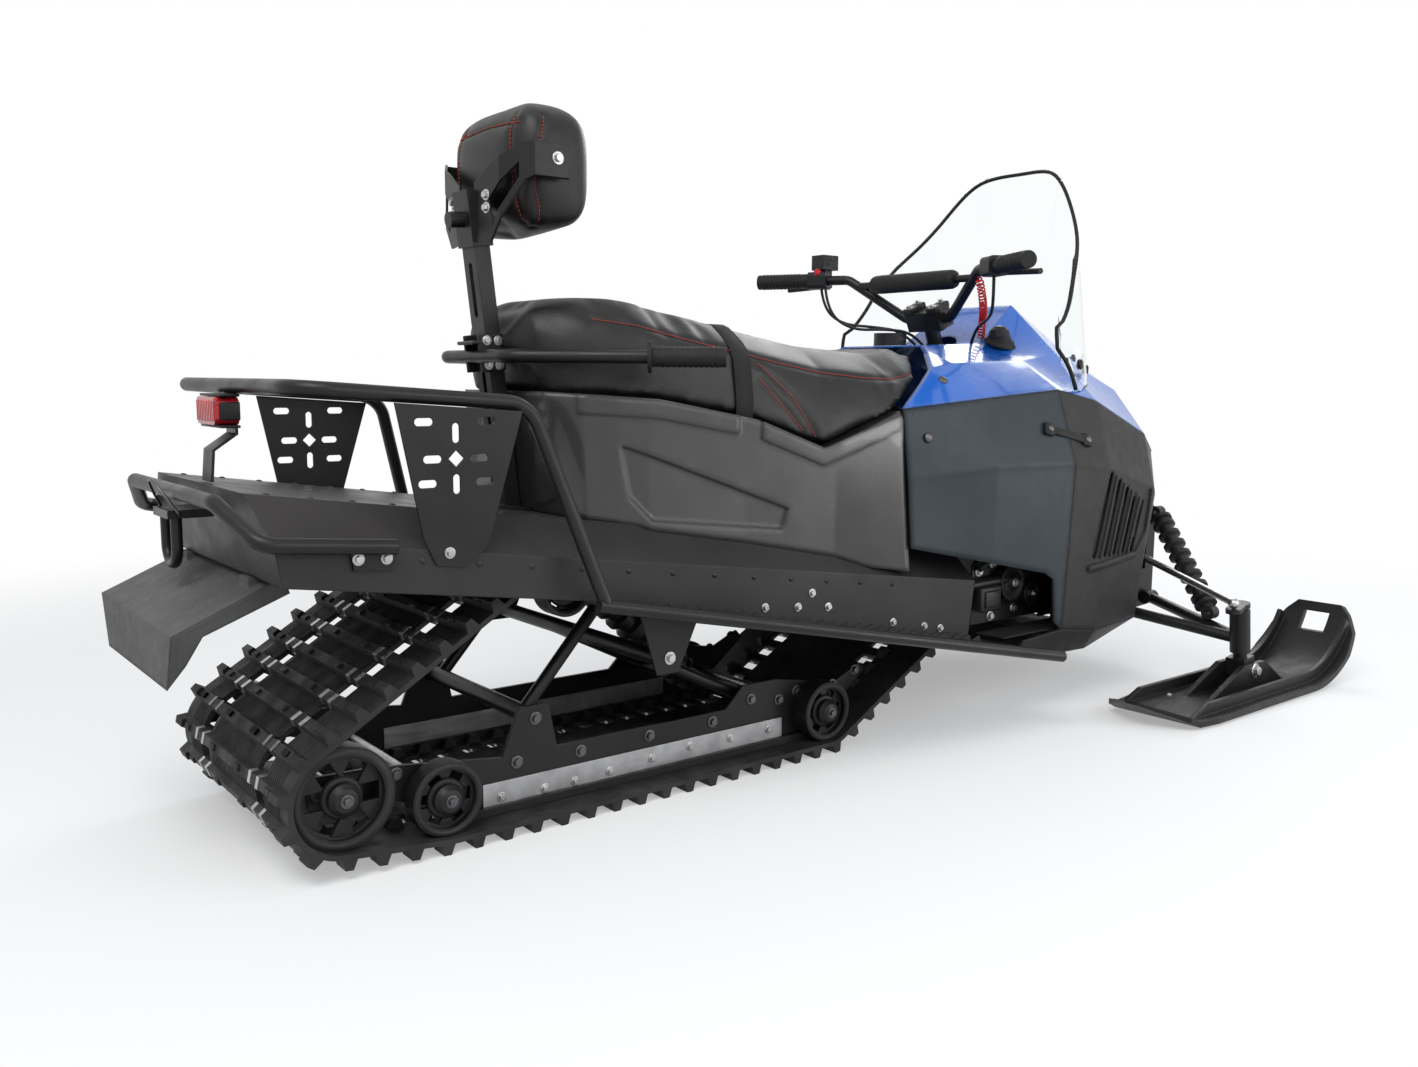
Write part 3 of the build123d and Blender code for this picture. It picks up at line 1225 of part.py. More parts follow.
nodes = {
    "tunnel": make_tunnel(),
    "running_boards": make_running_boards(),
    "hanger_brackets": make_hangers(),
    "track": make_track(),
    "rear_idler_wheels": make_wheel_pair(0, REAR_WHEEL_Z, REAR_WHEEL_R),
    "lower_idler_wheels": make_wheel_pair(LOW_WHEEL_X[0], LOW_WHEEL_Z, LOW_WHEEL_R)
    + make_wheel_pair(LOW_WHEEL_X[1], LOW_WHEEL_Z, LOW_WHEEL_R),
    "carrier_rollers": make_wheel_pair(CARRIER_X, CARRIER_Z, CARRIER_R),
    "wheel_axles": make_axles(),
    "drive_axle": make_drive_axle(),
    "skid_rails": make_rails(),
    "rail_beams": make_beams(),
    "slide_runners": make_runners(),
    "suspension_arms": make_arms(),
    "skid_shock": make_skid_shock(),
    "front_frame": make_front_frame(),
    "engine": make_engine(),
    "belly_pan": make_belly(),
    "hood": make_hood(shell),
    "headlamps": make_headlamps(shell),
    "side_panels": make_side_panels(shell),
    "nose_panels": make_nose_panels(shell),
    "windshield": make_windshield(envelope),
    "fuel_cap": make_fuel_cap(envelope),
    "gear_lever": make_gear_lever(envelope),
    "front_bumper": make_front_bumper(),
    "seat_cushion": make_cushion(),
    "seat_fairing": make_fairing(),
    "seat_strap": make_strap(),
    "backrest_post": make_post(),
    "backrest_bracket": make_bracket(),
    "backrest_pad": make_pad(),
    "grab_bar": make_grab_bar(),
    "grab_grips": make_grab_grips(),
    "rear_rack": make_rack(),
    "rack_plates": make_rack_plates(),
    "rear_bumper": make_rear_bumper(),
    "tail_lamp": make_tail_lamp(),
    "tow_hitch": make_hitch(),
    "snow_flap": make_flap(),
    "lower_arms": make_lower_arms(),
    "front_shocks": make_front_shocks(),
    "handlebar": make_handlebar(),
    "handlebar_pad": make_bar_pad(),
    "hand_grips": make_hand_grips(),
    "bar_controls": make_controls(),
    "spindle_right": make_spindle(-1),
    "spindle_left": make_spindle(1),
    "ski_right": make_ski(-1),
    "ski_left": make_ski(1),
    "tie_rod_right": make_tie_rod(-1),
    "tie_rod_left": make_tie_rod(1),
}

boxes = [shape.bounding_box() for shape in nodes.values()]
centre = (min(box.min.X for box in boxes) + max(box.max.X for box in boxes)) / 2

os.makedirs("parts", exist_ok=True)
for name, shape in nodes.items():
    export_step(Pos(-centre, 0, 0) * shape, f"parts/{name}.step")
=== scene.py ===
"""Finishes and soft goods of a two-seat utility snowmobile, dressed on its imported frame."""
import math

import bmesh
import bpy
from mathutils import Matrix, Vector
from mathutils.bvhtree import BVHTree
from mathutils.kdtree import KDTree


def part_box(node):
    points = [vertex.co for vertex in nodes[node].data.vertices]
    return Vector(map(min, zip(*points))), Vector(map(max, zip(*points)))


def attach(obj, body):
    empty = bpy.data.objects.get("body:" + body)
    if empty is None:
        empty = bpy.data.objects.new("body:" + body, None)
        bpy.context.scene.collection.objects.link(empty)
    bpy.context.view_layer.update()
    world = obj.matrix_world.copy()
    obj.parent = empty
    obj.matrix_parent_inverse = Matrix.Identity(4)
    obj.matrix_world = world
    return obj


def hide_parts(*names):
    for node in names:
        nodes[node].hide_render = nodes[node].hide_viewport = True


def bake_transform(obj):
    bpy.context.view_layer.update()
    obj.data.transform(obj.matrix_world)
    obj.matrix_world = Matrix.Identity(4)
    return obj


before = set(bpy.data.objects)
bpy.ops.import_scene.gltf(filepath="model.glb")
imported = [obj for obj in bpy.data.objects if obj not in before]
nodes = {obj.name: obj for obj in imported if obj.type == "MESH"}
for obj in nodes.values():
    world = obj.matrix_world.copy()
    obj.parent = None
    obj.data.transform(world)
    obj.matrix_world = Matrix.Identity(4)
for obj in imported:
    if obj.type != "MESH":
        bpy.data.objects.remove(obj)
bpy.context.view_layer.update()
scene = bpy.context.scene
scene.view_settings.view_transform = "Standard"

# The machine's own X is measured from the rear axle in millimetres; the row frame's origin lies
# under the middle of the machine.
REAR_AXLE = sum(corner[0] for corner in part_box("rear_idler_wheels")) / 2


def at(x, y, z):
    """A point given in the machine's own millimetres, in the row frame's metres."""
    return Vector((x * 0.001 + REAR_AXLE, y * 0.001, z * 0.001))


# Camera, as the photograph was taken: from the right rear, about seat high. Its focal length is in the
# photograph's pixels.
CAMERA_PLACE = at(-602, -1816, 712)
CAMERA_YAW = math.radians(38.5)
CAMERA_PITCH = math.radians(7.5)
CAMERA_ROLL = math.radians(0.42)
SENSOR_WIDTH = 36
PHOTO_WIDTH = 1418
PHOTO_FOCAL = 1186


def set_camera():
    ahead = Vector((math.sin(CAMERA_YAW) * math.cos(CAMERA_PITCH),
                    math.cos(CAMERA_YAW) * math.cos(CAMERA_PITCH), -math.sin(CAMERA_PITCH)))
    right = Vector((math.cos(CAMERA_YAW), -math.sin(CAMERA_YAW), 0))
    up = right.cross(ahead)
    right, up = (right * math.cos(CAMERA_ROLL) + up * math.sin(CAMERA_ROLL),
                 up * math.cos(CAMERA_ROLL) - right * math.sin(CAMERA_ROLL))
    data = bpy.data.cameras.new("photo_camera")
    data.sensor_width = SENSOR_WIDTH
    data.lens = SENSOR_WIDTH * PHOTO_FOCAL / PHOTO_WIDTH
    camera = bpy.data.objects.new("photo_camera", data)
    turn = Matrix((right, up, -ahead)).transposed().to_4x4()
    camera.matrix_world = Matrix.Translation(CAMERA_PLACE) @ turn
    scene.collection.objects.link(camera)
    scene.camera = camera


# Softboxes round the machine: place, aim, size, power and colour
SOFTBOXES = {
    "key_softbox": ((-2.6, -1.6, 3.4), (-0.2, 0, 0.5), (2.4, 1.6), 95, (1.0, 0.985, 0.96)),
    "side_softbox": ((0.4, -3.6, 1.9), (0.1, 0, 0.45), (3.2, 1.2), 42, (0.95, 0.97, 1.0)),
    "front_softbox": ((3.2, 1.6, 2.6), (0.3, 0, 0.5), (2.0, 1.6), 50, (1, 1, 1)),
    "low_softbox": ((2.1, -2.7, 0.75), (-0.1, -0.3, 0.45), (0.9, 1.2), 22, (1, 1, 1)),
}
SKY_COLOUR = (0.93, 0.96, 1.0, 1)
SKY_STRENGTH = 0.55


def softbox(name, place, aim, size, power, colour):
    data = bpy.data.lights.new(name, "AREA")
    data.shape = "RECTANGLE"
    data.size, data.size_y = size
    data.energy = power
    data.color = colour
    lamp = bpy.data.objects.new(name, data)
    lamp.location = place
    lamp.rotation_euler = (Vector(aim) - Vector(place)).to_track_quat("-Z", "Y").to_euler()
    lamp.visible_camera = False
    scene.collection.objects.link(lamp)


def seen_rays(tree):
    """One for rays from the camera, off a mirror or through glass, which should meet plain white."""
    path = tree.nodes.new("ShaderNodeLightPath")
    first = tree.nodes.new("ShaderNodeMath")
    first.operation = "MAXIMUM"
    tree.links.new(path.outputs["Is Camera Ray"], first.inputs[0])
    tree.links.new(path.outputs["Is Transmission Ray"], first.inputs[1])
    both = tree.nodes.new("ShaderNodeMath")
    both.operation = "MAXIMUM"
    tree.links.new(first.outputs[0], both.inputs[0])
    tree.links.new(path.outputs["Is Glossy Ray"], both.inputs[1])
    return both.outputs[0]


def set_studio():
    """White surroundings for what the camera and the reflections see, softer light on the machine."""
    world = bpy.data.worlds.new("studio")
    scene.world = world
    world.use_nodes = True
    tree = world.node_tree
    tree.nodes.clear()
    out = tree.nodes.new("ShaderNodeOutputWorld")
    mix = tree.nodes.new("ShaderNodeMixShader")
    seen = tree.nodes.new("ShaderNodeBackground")
    seen.inputs["Color"].default_value = (1, 1, 1, 1)
    seen.inputs["Strength"].default_value = 1.0
    light = tree.nodes.new("ShaderNodeBackground")
    light.inputs["Color"].default_value = SKY_COLOUR
    light.inputs["Strength"].default_value = SKY_STRENGTH
    tree.links.new(seen_rays(tree), mix.inputs[0])
    tree.links.new(light.outputs[0], mix.inputs[1])
    tree.links.new(seen.outputs[0], mix.inputs[2])
    tree.links.new(mix.outputs[0], out.inputs[0])
    for name, values in SOFTBOXES.items():
        softbox(name, *values)



# Radii from the middle of the floor between which its shading fades to plain white
FLOOR_FADE = (1.7, 3.4)
FLOOR_GLOW = 0.36
FLOOR_HALF = 40
FLOOR_COLOUR = (0.86, 0.87, 0.88, 1)


def set_floor():
    mesh = bpy.data.meshes.new("floor")
    bm = bmesh.new()
    bmesh.ops.create_grid(bm, x_segments=1, y_segments=1, size=FLOOR_HALF)
    bm.to_mesh(mesh)
    bm.free()
    floor = bpy.data.objects.new("floor", mesh)
    scene.collection.objects.link(floor)
    material = bpy.data.materials.new("pale_floor")
    material.use_nodes = True
    tree = material.node_tree
    tree.nodes.clear()
    out = tree.nodes.new("ShaderNodeOutputMaterial")
    mix = tree.nodes.new("ShaderNodeMixShader")
    where = tree.nodes.new("ShaderNodeTexCoord")
    away = tree.nodes.new("ShaderNodeVectorMath")
    away.operation = "LENGTH"
    fade = tree.nodes.new("ShaderNodeMapRange")
    fade.interpolation_type = "SMOOTHSTEP"
    fade.inputs["From Min"].default_value = FLOOR_FADE[0]
    fade.inputs["From Max"].default_value = FLOOR_FADE[1]
    fade.inputs["To Min"].default_value = FLOOR_GLOW
    fade.inputs["To Max"].default_value = 1.0
    tree.links.new(where.outputs["Object"], away.inputs[0])
    tree.links.new(away.outputs["Value"], fade.inputs["Value"])
    tree.links.new(fade.outputs["Result"], mix.inputs[0])
    diffuse = tree.nodes.new("ShaderNodeBsdfDiffuse")
    diffuse.inputs["Color"].default_value = FLOOR_COLOUR
    glow = tree.nodes.new("ShaderNodeEmission")
    glow.inputs["Color"].default_value = (1, 1, 1, 1)
    tree.links.new(seen_rays(tree), glow.inputs["Strength"])
    tree.links.new(diffuse.outputs[0], mix.inputs[1])
    tree.links.new(glow.outputs[0], mix.inputs[2])
    tree.links.new(mix.outputs[0], out.inputs[0])
    mesh.materials.append(material)


# Finishes: the gloss of every clear coat, how softly pebbles meet and the samples of a softened edge
COAT_ROUGH = 0.04
PEBBLE_SOFTNESS = 0.6
EDGE_SAMPLES = 6


def new_finish(name, colour, rough, metal=0.0, coat=0.0, specular=0.26):
    """A surface with the same colour and gloss all over, ready for its grain to be added."""
    material = bpy.data.materials.new(name)
    material.use_nodes = True
    shader = material.node_tree.nodes["Principled BSDF"]
    shader.inputs["Base Color"].default_value = (*colour, 1)
    shader.inputs["Roughness"].default_value = rough
    shader.inputs["Metallic"].default_value = metal
    shader.inputs["Coat Weight"].default_value = coat
    shader.inputs["Coat Roughness"].default_value = COAT_ROUGH
    shader.inputs["Specular IOR Level"].default_value = specular
    return material


def on_object(tree, stretch=(1, 1, 1)):
    """Object coordinates, stretched along an axis where a pattern runs that way."""
    where = tree.nodes.new("ShaderNodeTexCoord")
    mapping = tree.nodes.new("ShaderNodeMapping")
    mapping.inputs["Scale"].default_value = stretch
    tree.links.new(where.outputs["Object"], mapping.inputs["Vector"])
    return mapping.outputs["Vector"]


def noise(tree, scale, detail=3.0, stretch=(1, 1, 1)):
    node = tree.nodes.new("ShaderNodeTexNoise")
    node.inputs["Scale"].default_value = scale
    node.inputs["Detail"].default_value = detail
    tree.links.new(on_object(tree, stretch), node.inputs["Vector"])
    return node.outputs["Fac"]


def cells(tree, scale):
    """The dimples between the cells of a pebbled hide or moulded grain."""
    node = tree.nodes.new("ShaderNodeTexVoronoi")
    node.feature = "SMOOTH_F1"
    node.inputs["Scale"].default_value = scale
    node.inputs["Smoothness"].default_value = PEBBLE_SOFTNESS
    tree.links.new(on_object(tree), node.inputs["Vector"])
    return node.outputs["Distance"]


def tint(material, source, low, high, span=(0.3, 0.7)):
    """Varies the colour between two shades with a pattern."""
    tree = material.node_tree
    ramp = tree.nodes.new("ShaderNodeValToRGB")
    ramp.color_ramp.elements[0].position = span[0]
    ramp.color_ramp.elements[0].color = (*low, 1)
    ramp.color_ramp.elements[1].position = span[1]
    ramp.color_ramp.elements[1].color = (*high, 1)
    tree.links.new(source, ramp.inputs["Fac"])
    tree.links.new(ramp.outputs["Color"], tree.nodes["Principled BSDF"].inputs["Base Color"])


def gloss(material, source, low, high, span=(0.3, 0.7)):
    """Varies the roughness with a pattern, as handling and weather do."""
    tree = material.node_tree
    shift = tree.nodes.new("ShaderNodeMapRange")
    shift.inputs["From Min"].default_value = span[0]
    shift.inputs["From Max"].default_value = span[1]
    shift.inputs["To Min"].default_value = low
    shift.inputs["To Max"].default_value = high
    tree.links.new(source, shift.inputs["Value"])
    tree.links.new(shift.outputs["Result"], tree.nodes["Principled BSDF"].inputs["Roughness"])


def grain(material, source, depth, strength=1.0, edge=0.0, flip=False):
    """Raises a pattern by a depth in metres; edge rounds the corners by a radius in metres."""
    tree = material.node_tree
    bump = tree.nodes.new("ShaderNodeBump")
    bump.inputs["Distance"].default_value = depth
    bump.inputs["Strength"].default_value = strength
    bump.invert = flip
    tree.links.new(source, bump.inputs["Height"])
    if edge:
        soft = tree.nodes.new("ShaderNodeBevel")
        soft.samples = EDGE_SAMPLES
        soft.inputs["Radius"].default_value = edge
        tree.links.new(soft.outputs["Normal"], bump.inputs["Normal"])
    tree.links.new(bump.outputs["Normal"], tree.nodes["Principled BSDF"].inputs["Normal"])


def shade(colour, factor):
    return tuple(c * factor for c in colour)


def coated_steel(name, colour, rough, edge):
    """Powder coat: fine orange peel, slightly uneven gloss."""
    material = new_finish(name, colour, rough)
    tree = material.node_tree
    tint(material, noise(tree, 6, 4), shade(colour, 0.8), shade(colour, 1.3))
    gloss(material, noise(tree, 18, 4), rough - 0.06, rough + 0.1)
    grain(material, noise(tree, 900, 2), 0.0004, 0.5, edge)
    return material


def moulded_plastic(name, colour, rough, pebble, depth, edge):
    """Injection-moulded plastic with a pebbled grain."""
    material = new_finish(name, colour, rough)
    tree = material.node_tree
    tint(material, noise(tree, 9, 5), shade(colour, 0.85), shade(colour, 1.2))
    gloss(material, noise(tree, 40, 3), rough - 0.05, rough + 0.08)
    grain(material, cells(tree, pebble), depth, 0.6, edge)
    return material


def satin_fairing():
    """Smooth black plastic with a satin sheen."""
    colour = (0.0125, 0.012, 0.0122)
    material = new_finish("fairing_plastic", colour, 0.24, coat=0.3, specular=0.6)
    tree = material.node_tree
    tint(material, noise(tree, 7, 4), shade(colour, 0.85), shade(colour, 1.2))
    gloss(material, noise(tree, 12, 3), 0.2, 0.3)
    grain(material, cells(tree, 1300), 0.00005, 0.4, 0.014)
    return material


def bare_metal(name, colour, rough, stretch, edge):
    """Drawn or machined metal with marks along one way."""
    material = new_finish(name, colour, rough, metal=1.0)
    tree = material.node_tree
    tint(material, noise(tree, 30, 5), shade(colour, 0.75), shade(colour, 1.1))
    gloss(material, noise(tree, 400, 2, stretch), rough - 0.08, rough + 0.12)
    grain(material, noise(tree, 400, 2, stretch), 0.0001, 0.4, edge)
    return material


def blue_paint():
    """Glossy moulded-in blue with a clear gloss and a faint ripple."""
    colour = (0.012, 0.108, 0.47)
    material = new_finish("hood_blue", colour, 0.22, coat=0.7)
    tree = material.node_tree
    tint(material, noise(tree, 5, 3), shade(colour, 0.88), shade(colour, 1.12))
    gloss(material, noise(tree, 30, 3), 0.18, 0.3)
    grain(material, noise(tree, 22, 2), 0.0012, 0.5, 0.012)
    return material


def seat_vinyl():
    """Black vinyl: hide grain, a soft wide mottle in its tone and rubbed, glossier patches."""
    colour = (0.0095, 0.0095, 0.01)
    material = new_finish("seat_vinyl", colour, 0.4, specular=0.3)
    tree = material.node_tree
    tint(material, noise(tree, 7, 4), shade(colour, 0.8), shade(colour, 1.45))
    gloss(material, noise(tree, 9, 4), 0.36, 0.5)
    grain(material, cells(tree, 620), 0.0005, 0.45)
    return material


def track_rubber():
    material = new_finish("track_rubber", (0.018, 0.018, 0.019), 0.62)
    tree = material.node_tree
    tint(material, noise(tree, 14, 6), (0.012, 0.012, 0.013), (0.034, 0.033, 0.033))
    gloss(material, noise(tree, 25, 5), 0.45, 0.75)
    grain(material, noise(tree, 320, 4), 0.0006, 0.5, 0.0015)
    return material


def clear_pane():
    material = new_finish("clear_pane", (0.96, 0.98, 0.985), 0.02)
    shader = material.node_tree.nodes["Principled BSDF"]
    shader.inputs["Transmission Weight"].default_value = 1.0
    shader.inputs["IOR"].default_value = 1.12
    gloss(material, noise(material.node_tree, 14, 5), 0.01, 0.05)
    return material


def red_lens():
    """Red moulded lens with a faint ripple."""
    material = new_finish("red_lens", (0.42, 0.008, 0.014), 0.12, coat=0.6)
    tree = material.node_tree
    tint(material, noise(tree, 60, 3), (0.28, 0.005, 0.01), (0.6, 0.02, 0.03))
    grain(material, noise(tree, 120, 2), 0.0006, 0.4, 0.002)
    return material


def lamp_lens():
    material = new_finish("lamp_lens", (0.62, 0.65, 0.68), 0.08, coat=0.8)
    tree = material.node_tree
    tint(material, noise(tree, 50, 2), (0.5, 0.53, 0.56), (0.75, 0.78, 0.8))
    gloss(material, noise(tree, 60, 2), 0.05, 0.12)
    return material


def woven_webbing():
    """Flat nylon webbing, its ribs across the strap."""
    colour = (0.014, 0.014, 0.015)
    material = new_finish("webbing", colour, 0.8)
    tree = material.node_tree
    wave = tree.nodes.new("ShaderNodeTexWave")
    wave.inputs["Scale"].default_value = 260
    wave.inputs["Distortion"].default_value = 0.6
    tree.links.new(on_object(tree, (1, 0.4, 0.4)), wave.inputs["Vector"])
    tint(material, wave.outputs["Fac"], shade(colour, 0.7), shade(colour, 2.0), (0.2, 0.8))
    grain(material, wave.outputs["Fac"], 0.0006, 0.7)
    return material


def thread(name, colour):
    material = new_finish(name, colour, 0.7)
    tint(material, noise(material.node_tree, 800, 2), shade(colour, 0.7), shade(colour, 1.3))
    grain(material, noise(material.node_tree, 2500, 1), 0.0002, 0.6)
    return material


# Powder coats: colour, roughness and the radius of their softened edges
COATS = {
    "tunnel_coat": ((0.021, 0.019, 0.019), 0.4, 0.003),
    "tube_coat": ((0.0105, 0.0102, 0.0105), 0.34, 0.0015),
    "shock_coat": ((0.018, 0.018, 0.02), 0.38, 0.001),
}
# Moulded plastics and rubbers: colour, roughness, pebbles to the metre, their depth and the softened edges
PLASTICS = {
    "slate_panel": ((0.017, 0.025, 0.031), 0.38, 900, 0.0002, 0.018),
    "charcoal_panel": ((0.015, 0.015, 0.016), 0.46, 420, 0.0006, 0.014),
    "belly_plastic": ((0.013, 0.013, 0.014), 0.5, 500, 0.0005, 0.008),
    "control_plastic": ((0.010, 0.010, 0.011), 0.42, 800, 0.0003, 0.002),
    "wheel_plastic": ((0.011, 0.011, 0.012), 0.4, 500, 0.0004, 0.003),
    "ski_plastic": ((0.009, 0.009, 0.0095), 0.38, 350, 0.0006, 0.004),
    "flap_plastic": ((0.085, 0.085, 0.084), 0.6, 330, 0.0012, 0.008),
    "runner_plastic": ((0.012, 0.012, 0.012), 0.5, 500, 0.0003, 0.002),
    "grip_rubber": ((0.009, 0.009, 0.0095), 0.58, 900, 0.0006, 0.0015),
    "red_cord": ((0.5, 0.012, 0.02), 0.35, 900, 0.0002, 0.0005),
}
# Bare metals: colour, roughness, how their marks are stretched and the softened edges
METALS = {
    "engine_alloy": ((0.2, 0.2, 0.21), 0.5, (1, 1, 1), 0.004),
    "rail_alloy": ((0.42, 0.42, 0.43), 0.4, (0.04, 1, 1), 0.001),
    "bright_steel": ((0.46, 0.455, 0.45), 0.32, (1, 1, 1), 0.0008),
    "dark_steel": ((0.12, 0.12, 0.125), 0.42, (1, 1, 1), 0.0008),
}
finishes = {
    "hood_blue": blue_paint(),
    "fairing_plastic": satin_fairing(),
    "seat_vinyl": seat_vinyl(),
    "track_rubber": track_rubber(),
    "clear_pane": clear_pane(),
    "red_lens": red_lens(),
    "lamp_lens": lamp_lens(),
    "webbing": woven_webbing(),
    "red_thread": thread("red_thread", (0.34, 0.05, 0.035)),
}
for make, table in ((coated_steel, COATS), (moulded_plastic, PLASTICS), (bare_metal, METALS)):
    for name, values in table.items():
        finishes[name] = make(name, *values)

# The finish of each piece that keeps its CAD form
NODE_FINISHES = {
    "tunnel_coat": ["tunnel"],
    "tube_coat": ["running_boards", "hanger_brackets", "suspension_arms", "front_frame", "front_bumper",
                  "backrest_post", "backrest_bracket", "grab_bar", "rear_rack", "rack_plates", "rear_bumper",
                  "tow_hitch", "lower_arms", "handlebar", "skid_rails", "spindle_right", "spindle_left"],
    "shock_coat": ["skid_shock", "front_shocks"],
    "bright_steel": ["wheel_axles", "drive_axle", "tie_rod_right", "tie_rod_left"],
    "rail_alloy": ["rail_beams"],
    "hood_blue": ["hood"],
    "slate_panel": ["side_panels"],
    "charcoal_panel": ["nose_panels"],
    "belly_plastic": ["belly_pan"],
    "fairing_plastic": ["seat_fairing"],
    "control_plastic": ["bar_controls", "fuel_cap", "gear_lever"],
    "wheel_plastic": ["rear_idler_wheels", "lower_idler_wheels", "carrier_rollers"],
    "ski_plastic": ["ski_right", "ski_left"],
    "flap_plastic": ["snow_flap"],
    "runner_plastic": ["slide_runners"],
    "grip_rubber": ["grab_grips", "hand_grips", "handlebar_pad"],
    "engine_alloy": ["engine"],
    "track_rubber": ["track"],
    "clear_pane": ["windshield"],
    "red_lens": ["tail_lamp"],
    "lamp_lens": ["headlamps"],
    "webbing": ["seat_strap"],
    "seat_vinyl": ["seat_cushion", "backrest_pad"],
}


def finish_nodes():
    for finish, names in NODE_FINISHES.items():
        for name in names:
            for slot in nodes[name].material_slots:
                slot.material = finishes[finish]


# Mesh pieces

def new_piece(name, bm, body, finish, smooth=True):
    """A finished piece from a bmesh, riding on a body."""
    mesh = bpy.data.meshes.new(name)
    bm.to_mesh(mesh)
    bm.free()
    if smooth:
        mesh.shade_smooth()
    mesh.materials.append(finishes[finish])
    piece = bpy.data.objects.new(name, mesh)
    scene.collection.objects.link(piece)
    if body:
        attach(piece, body)
    return piece


def add_form(bm, form):
    """Adds one bmesh to another and frees it."""
    carrier = bpy.data.meshes.new("carrier")
    form.to_mesh(carrier)
    form.free()
    bm.from_mesh(carrier)
    bpy.data.meshes.remove(carrier)


def facing(axis):
    """The turn that points a form's height along an axis."""
    return Vector(axis).to_track_quat("Z", "Y").to_matrix().to_4x4()


def draw_out(bm, edges, way):
    """Draws a band out of a line of edges."""
    made = bmesh.ops.extrude_edge_only(bm, edges=edges)["geom"]
    bmesh.ops.translate(bm, vec=way, verts=[v for v in made if isinstance(v, bmesh.types.BMVert)])


def thicken(piece, thickness, offset):
    modifier = piece.modifiers.new("thickness", "SOLIDIFY")
    modifier.thickness = thickness
    modifier.offset = offset


def bake_modifiers(piece):
    """Keeps the shape that the modifiers give and removes them."""
    graph = bpy.context.evaluated_depsgraph_get()
    shaped = bpy.data.meshes.new_from_object(piece.evaluated_get(graph))
    old = piece.data
    piece.modifiers.clear()
    piece.data = shaped
    shaped.name = old.name
    bpy.data.meshes.remove(old)


def remesh(piece, voxel):
    modifier = piece.modifiers.new("even_mesh", "REMESH")
    modifier.mode = "VOXEL"
    modifier.voxel_size = voxel
    bake_modifiers(piece)


def even_out(piece, rounds):
    """Relaxes the surface, so that straight facets flow into each other."""
    modifier = piece.modifiers.new("even_out", "SMOOTH")
    modifier.factor = 0.5
    modifier.iterations = rounds
    bake_modifiers(piece)


# How a cover behaves as cloth while it fills, and for how many frames
COVER_CLOTH = {"quality": 4, "mass": 0.4, "tension_stiffness": 18, "compression_stiffness": 18,
               "bending_stiffness": 1.2, "use_pressure": True, "uniform_pressure_force": 4.0}
PUFF_FRAMES = 20


def puff(piece, cap):
    """Fills a padded cover: inflates it as cloth for a moment, no point moving further than the cap."""
    start = [v.co.copy() for v in piece.data.vertices]
    cloth = piece.modifiers.new("cover", "CLOTH")
    for name, value in COVER_CLOTH.items():
        setattr(cloth.settings, name, value)
    cloth.settings.effector_weights.gravity = 0
    cloth.collision_settings.use_collision = False
    cloth.point_cache.frame_start = 1
    cloth.point_cache.frame_end = PUFF_FRAMES
    for number in range(1, PUFF_FRAMES + 1):
        scene.frame_set(number)
    bake_modifiers(piece)
    scene.frame_set(1)
    for vertex, old in zip(piece.data.vertices, start):
        moved = vertex.co - old
        if moved.length > cap:
            vertex.co = old + moved * (cap / moved.length)


def surface_tree(piece):
    """A tree of a piece's faces, to lay seams on."""
    mesh = piece.data
    return BVHTree.FromPolygons([v.co for v in mesh.vertices], [p.vertices for p in mesh.polygons])


def laid_on(tree, points, direction):
    """The points pushed along a direction onto a surface."""
    laid = []
    for point in points:
        place, normal, _, _ = tree.ray_cast(point, direction)
        if place is not None:
            laid.append((place, normal))
    return laid


def spaced(points, count):
    """Evenly spaced points along a line through a few points."""
    lengths = [0.0]
    for a, b in zip(points, points[1:]):
        lengths.append(lengths[-1] + (b - a).length)
    spread = []
    for i in range(count):
        want = lengths[-1] * i / (count - 1)
        k = max(j for j in range(len(points) - 1) if lengths[j] <= want + 1e-9)
        share = (want - lengths[k]) / (lengths[k + 1] - lengths[k])
        spread.append(points[k].lerp(points[k + 1], share))
    return spread


def press_seam(piece, line, width, depth):
    """Draws a padded cover in along a sewn line."""
    finder = KDTree(len(line))
    for i, (place, _) in enumerate(line):
        finder.insert(place, i)
    finder.balance()
    for vertex in piece.data.vertices:
        _, index, away = finder.find(vertex.co)
        if away < width * 3:
            vertex.co -= line[index][1] * depth * math.exp(-(away / width) ** 2)


# Sewing: length, radius and taper of a stitch, and its share of the seam
STITCH = 0.0062
STITCH_R = 0.0011
STITCH_TAPER = 0.7
STITCH_SHARE = 0.72


def stitches(bm, line):
    """A row of small raised stitches along a laid line."""
    for (a, normal), (b, _) in zip(line, line[1:]):
        form = bmesh.new()
        place = Matrix.Translation((a + b) / 2 + normal * STITCH_R * 0.5) @ facing((b - a).normalized())
        bmesh.ops.create_cone(form, cap_ends=True, segments=5, radius1=STITCH_R,
                              radius2=STITCH_R * STITCH_TAPER, depth=(b - a).length * STITCH_SHARE,
                              matrix=place)
        add_form(bm, form)


def laid_seam(tree, points, direction):
    """A seam through a few points, laid on the cover in even steps."""
    spots = [at(*p) for p in points]
    length = sum((b - a).length for a, b in zip(spots, spots[1:]))
    return laid_on(tree, spaced(spots, int(length / STITCH)), direction)


def start_cover(node, label, voxel):
    """The cover of a padded piece: a CAD node's closed form with an even mesh."""
    bm = bmesh.new()
    bm.from_mesh(nodes[node].data)
    bmesh.ops.remove_doubles(bm, verts=bm.verts, dist=2e-5)
    bmesh.ops.recalc_face_normals(bm, faces=bm.faces)
    piece = new_piece(label, bm, None, "seat_vinyl")
    remesh(piece, voxel)
    return piece


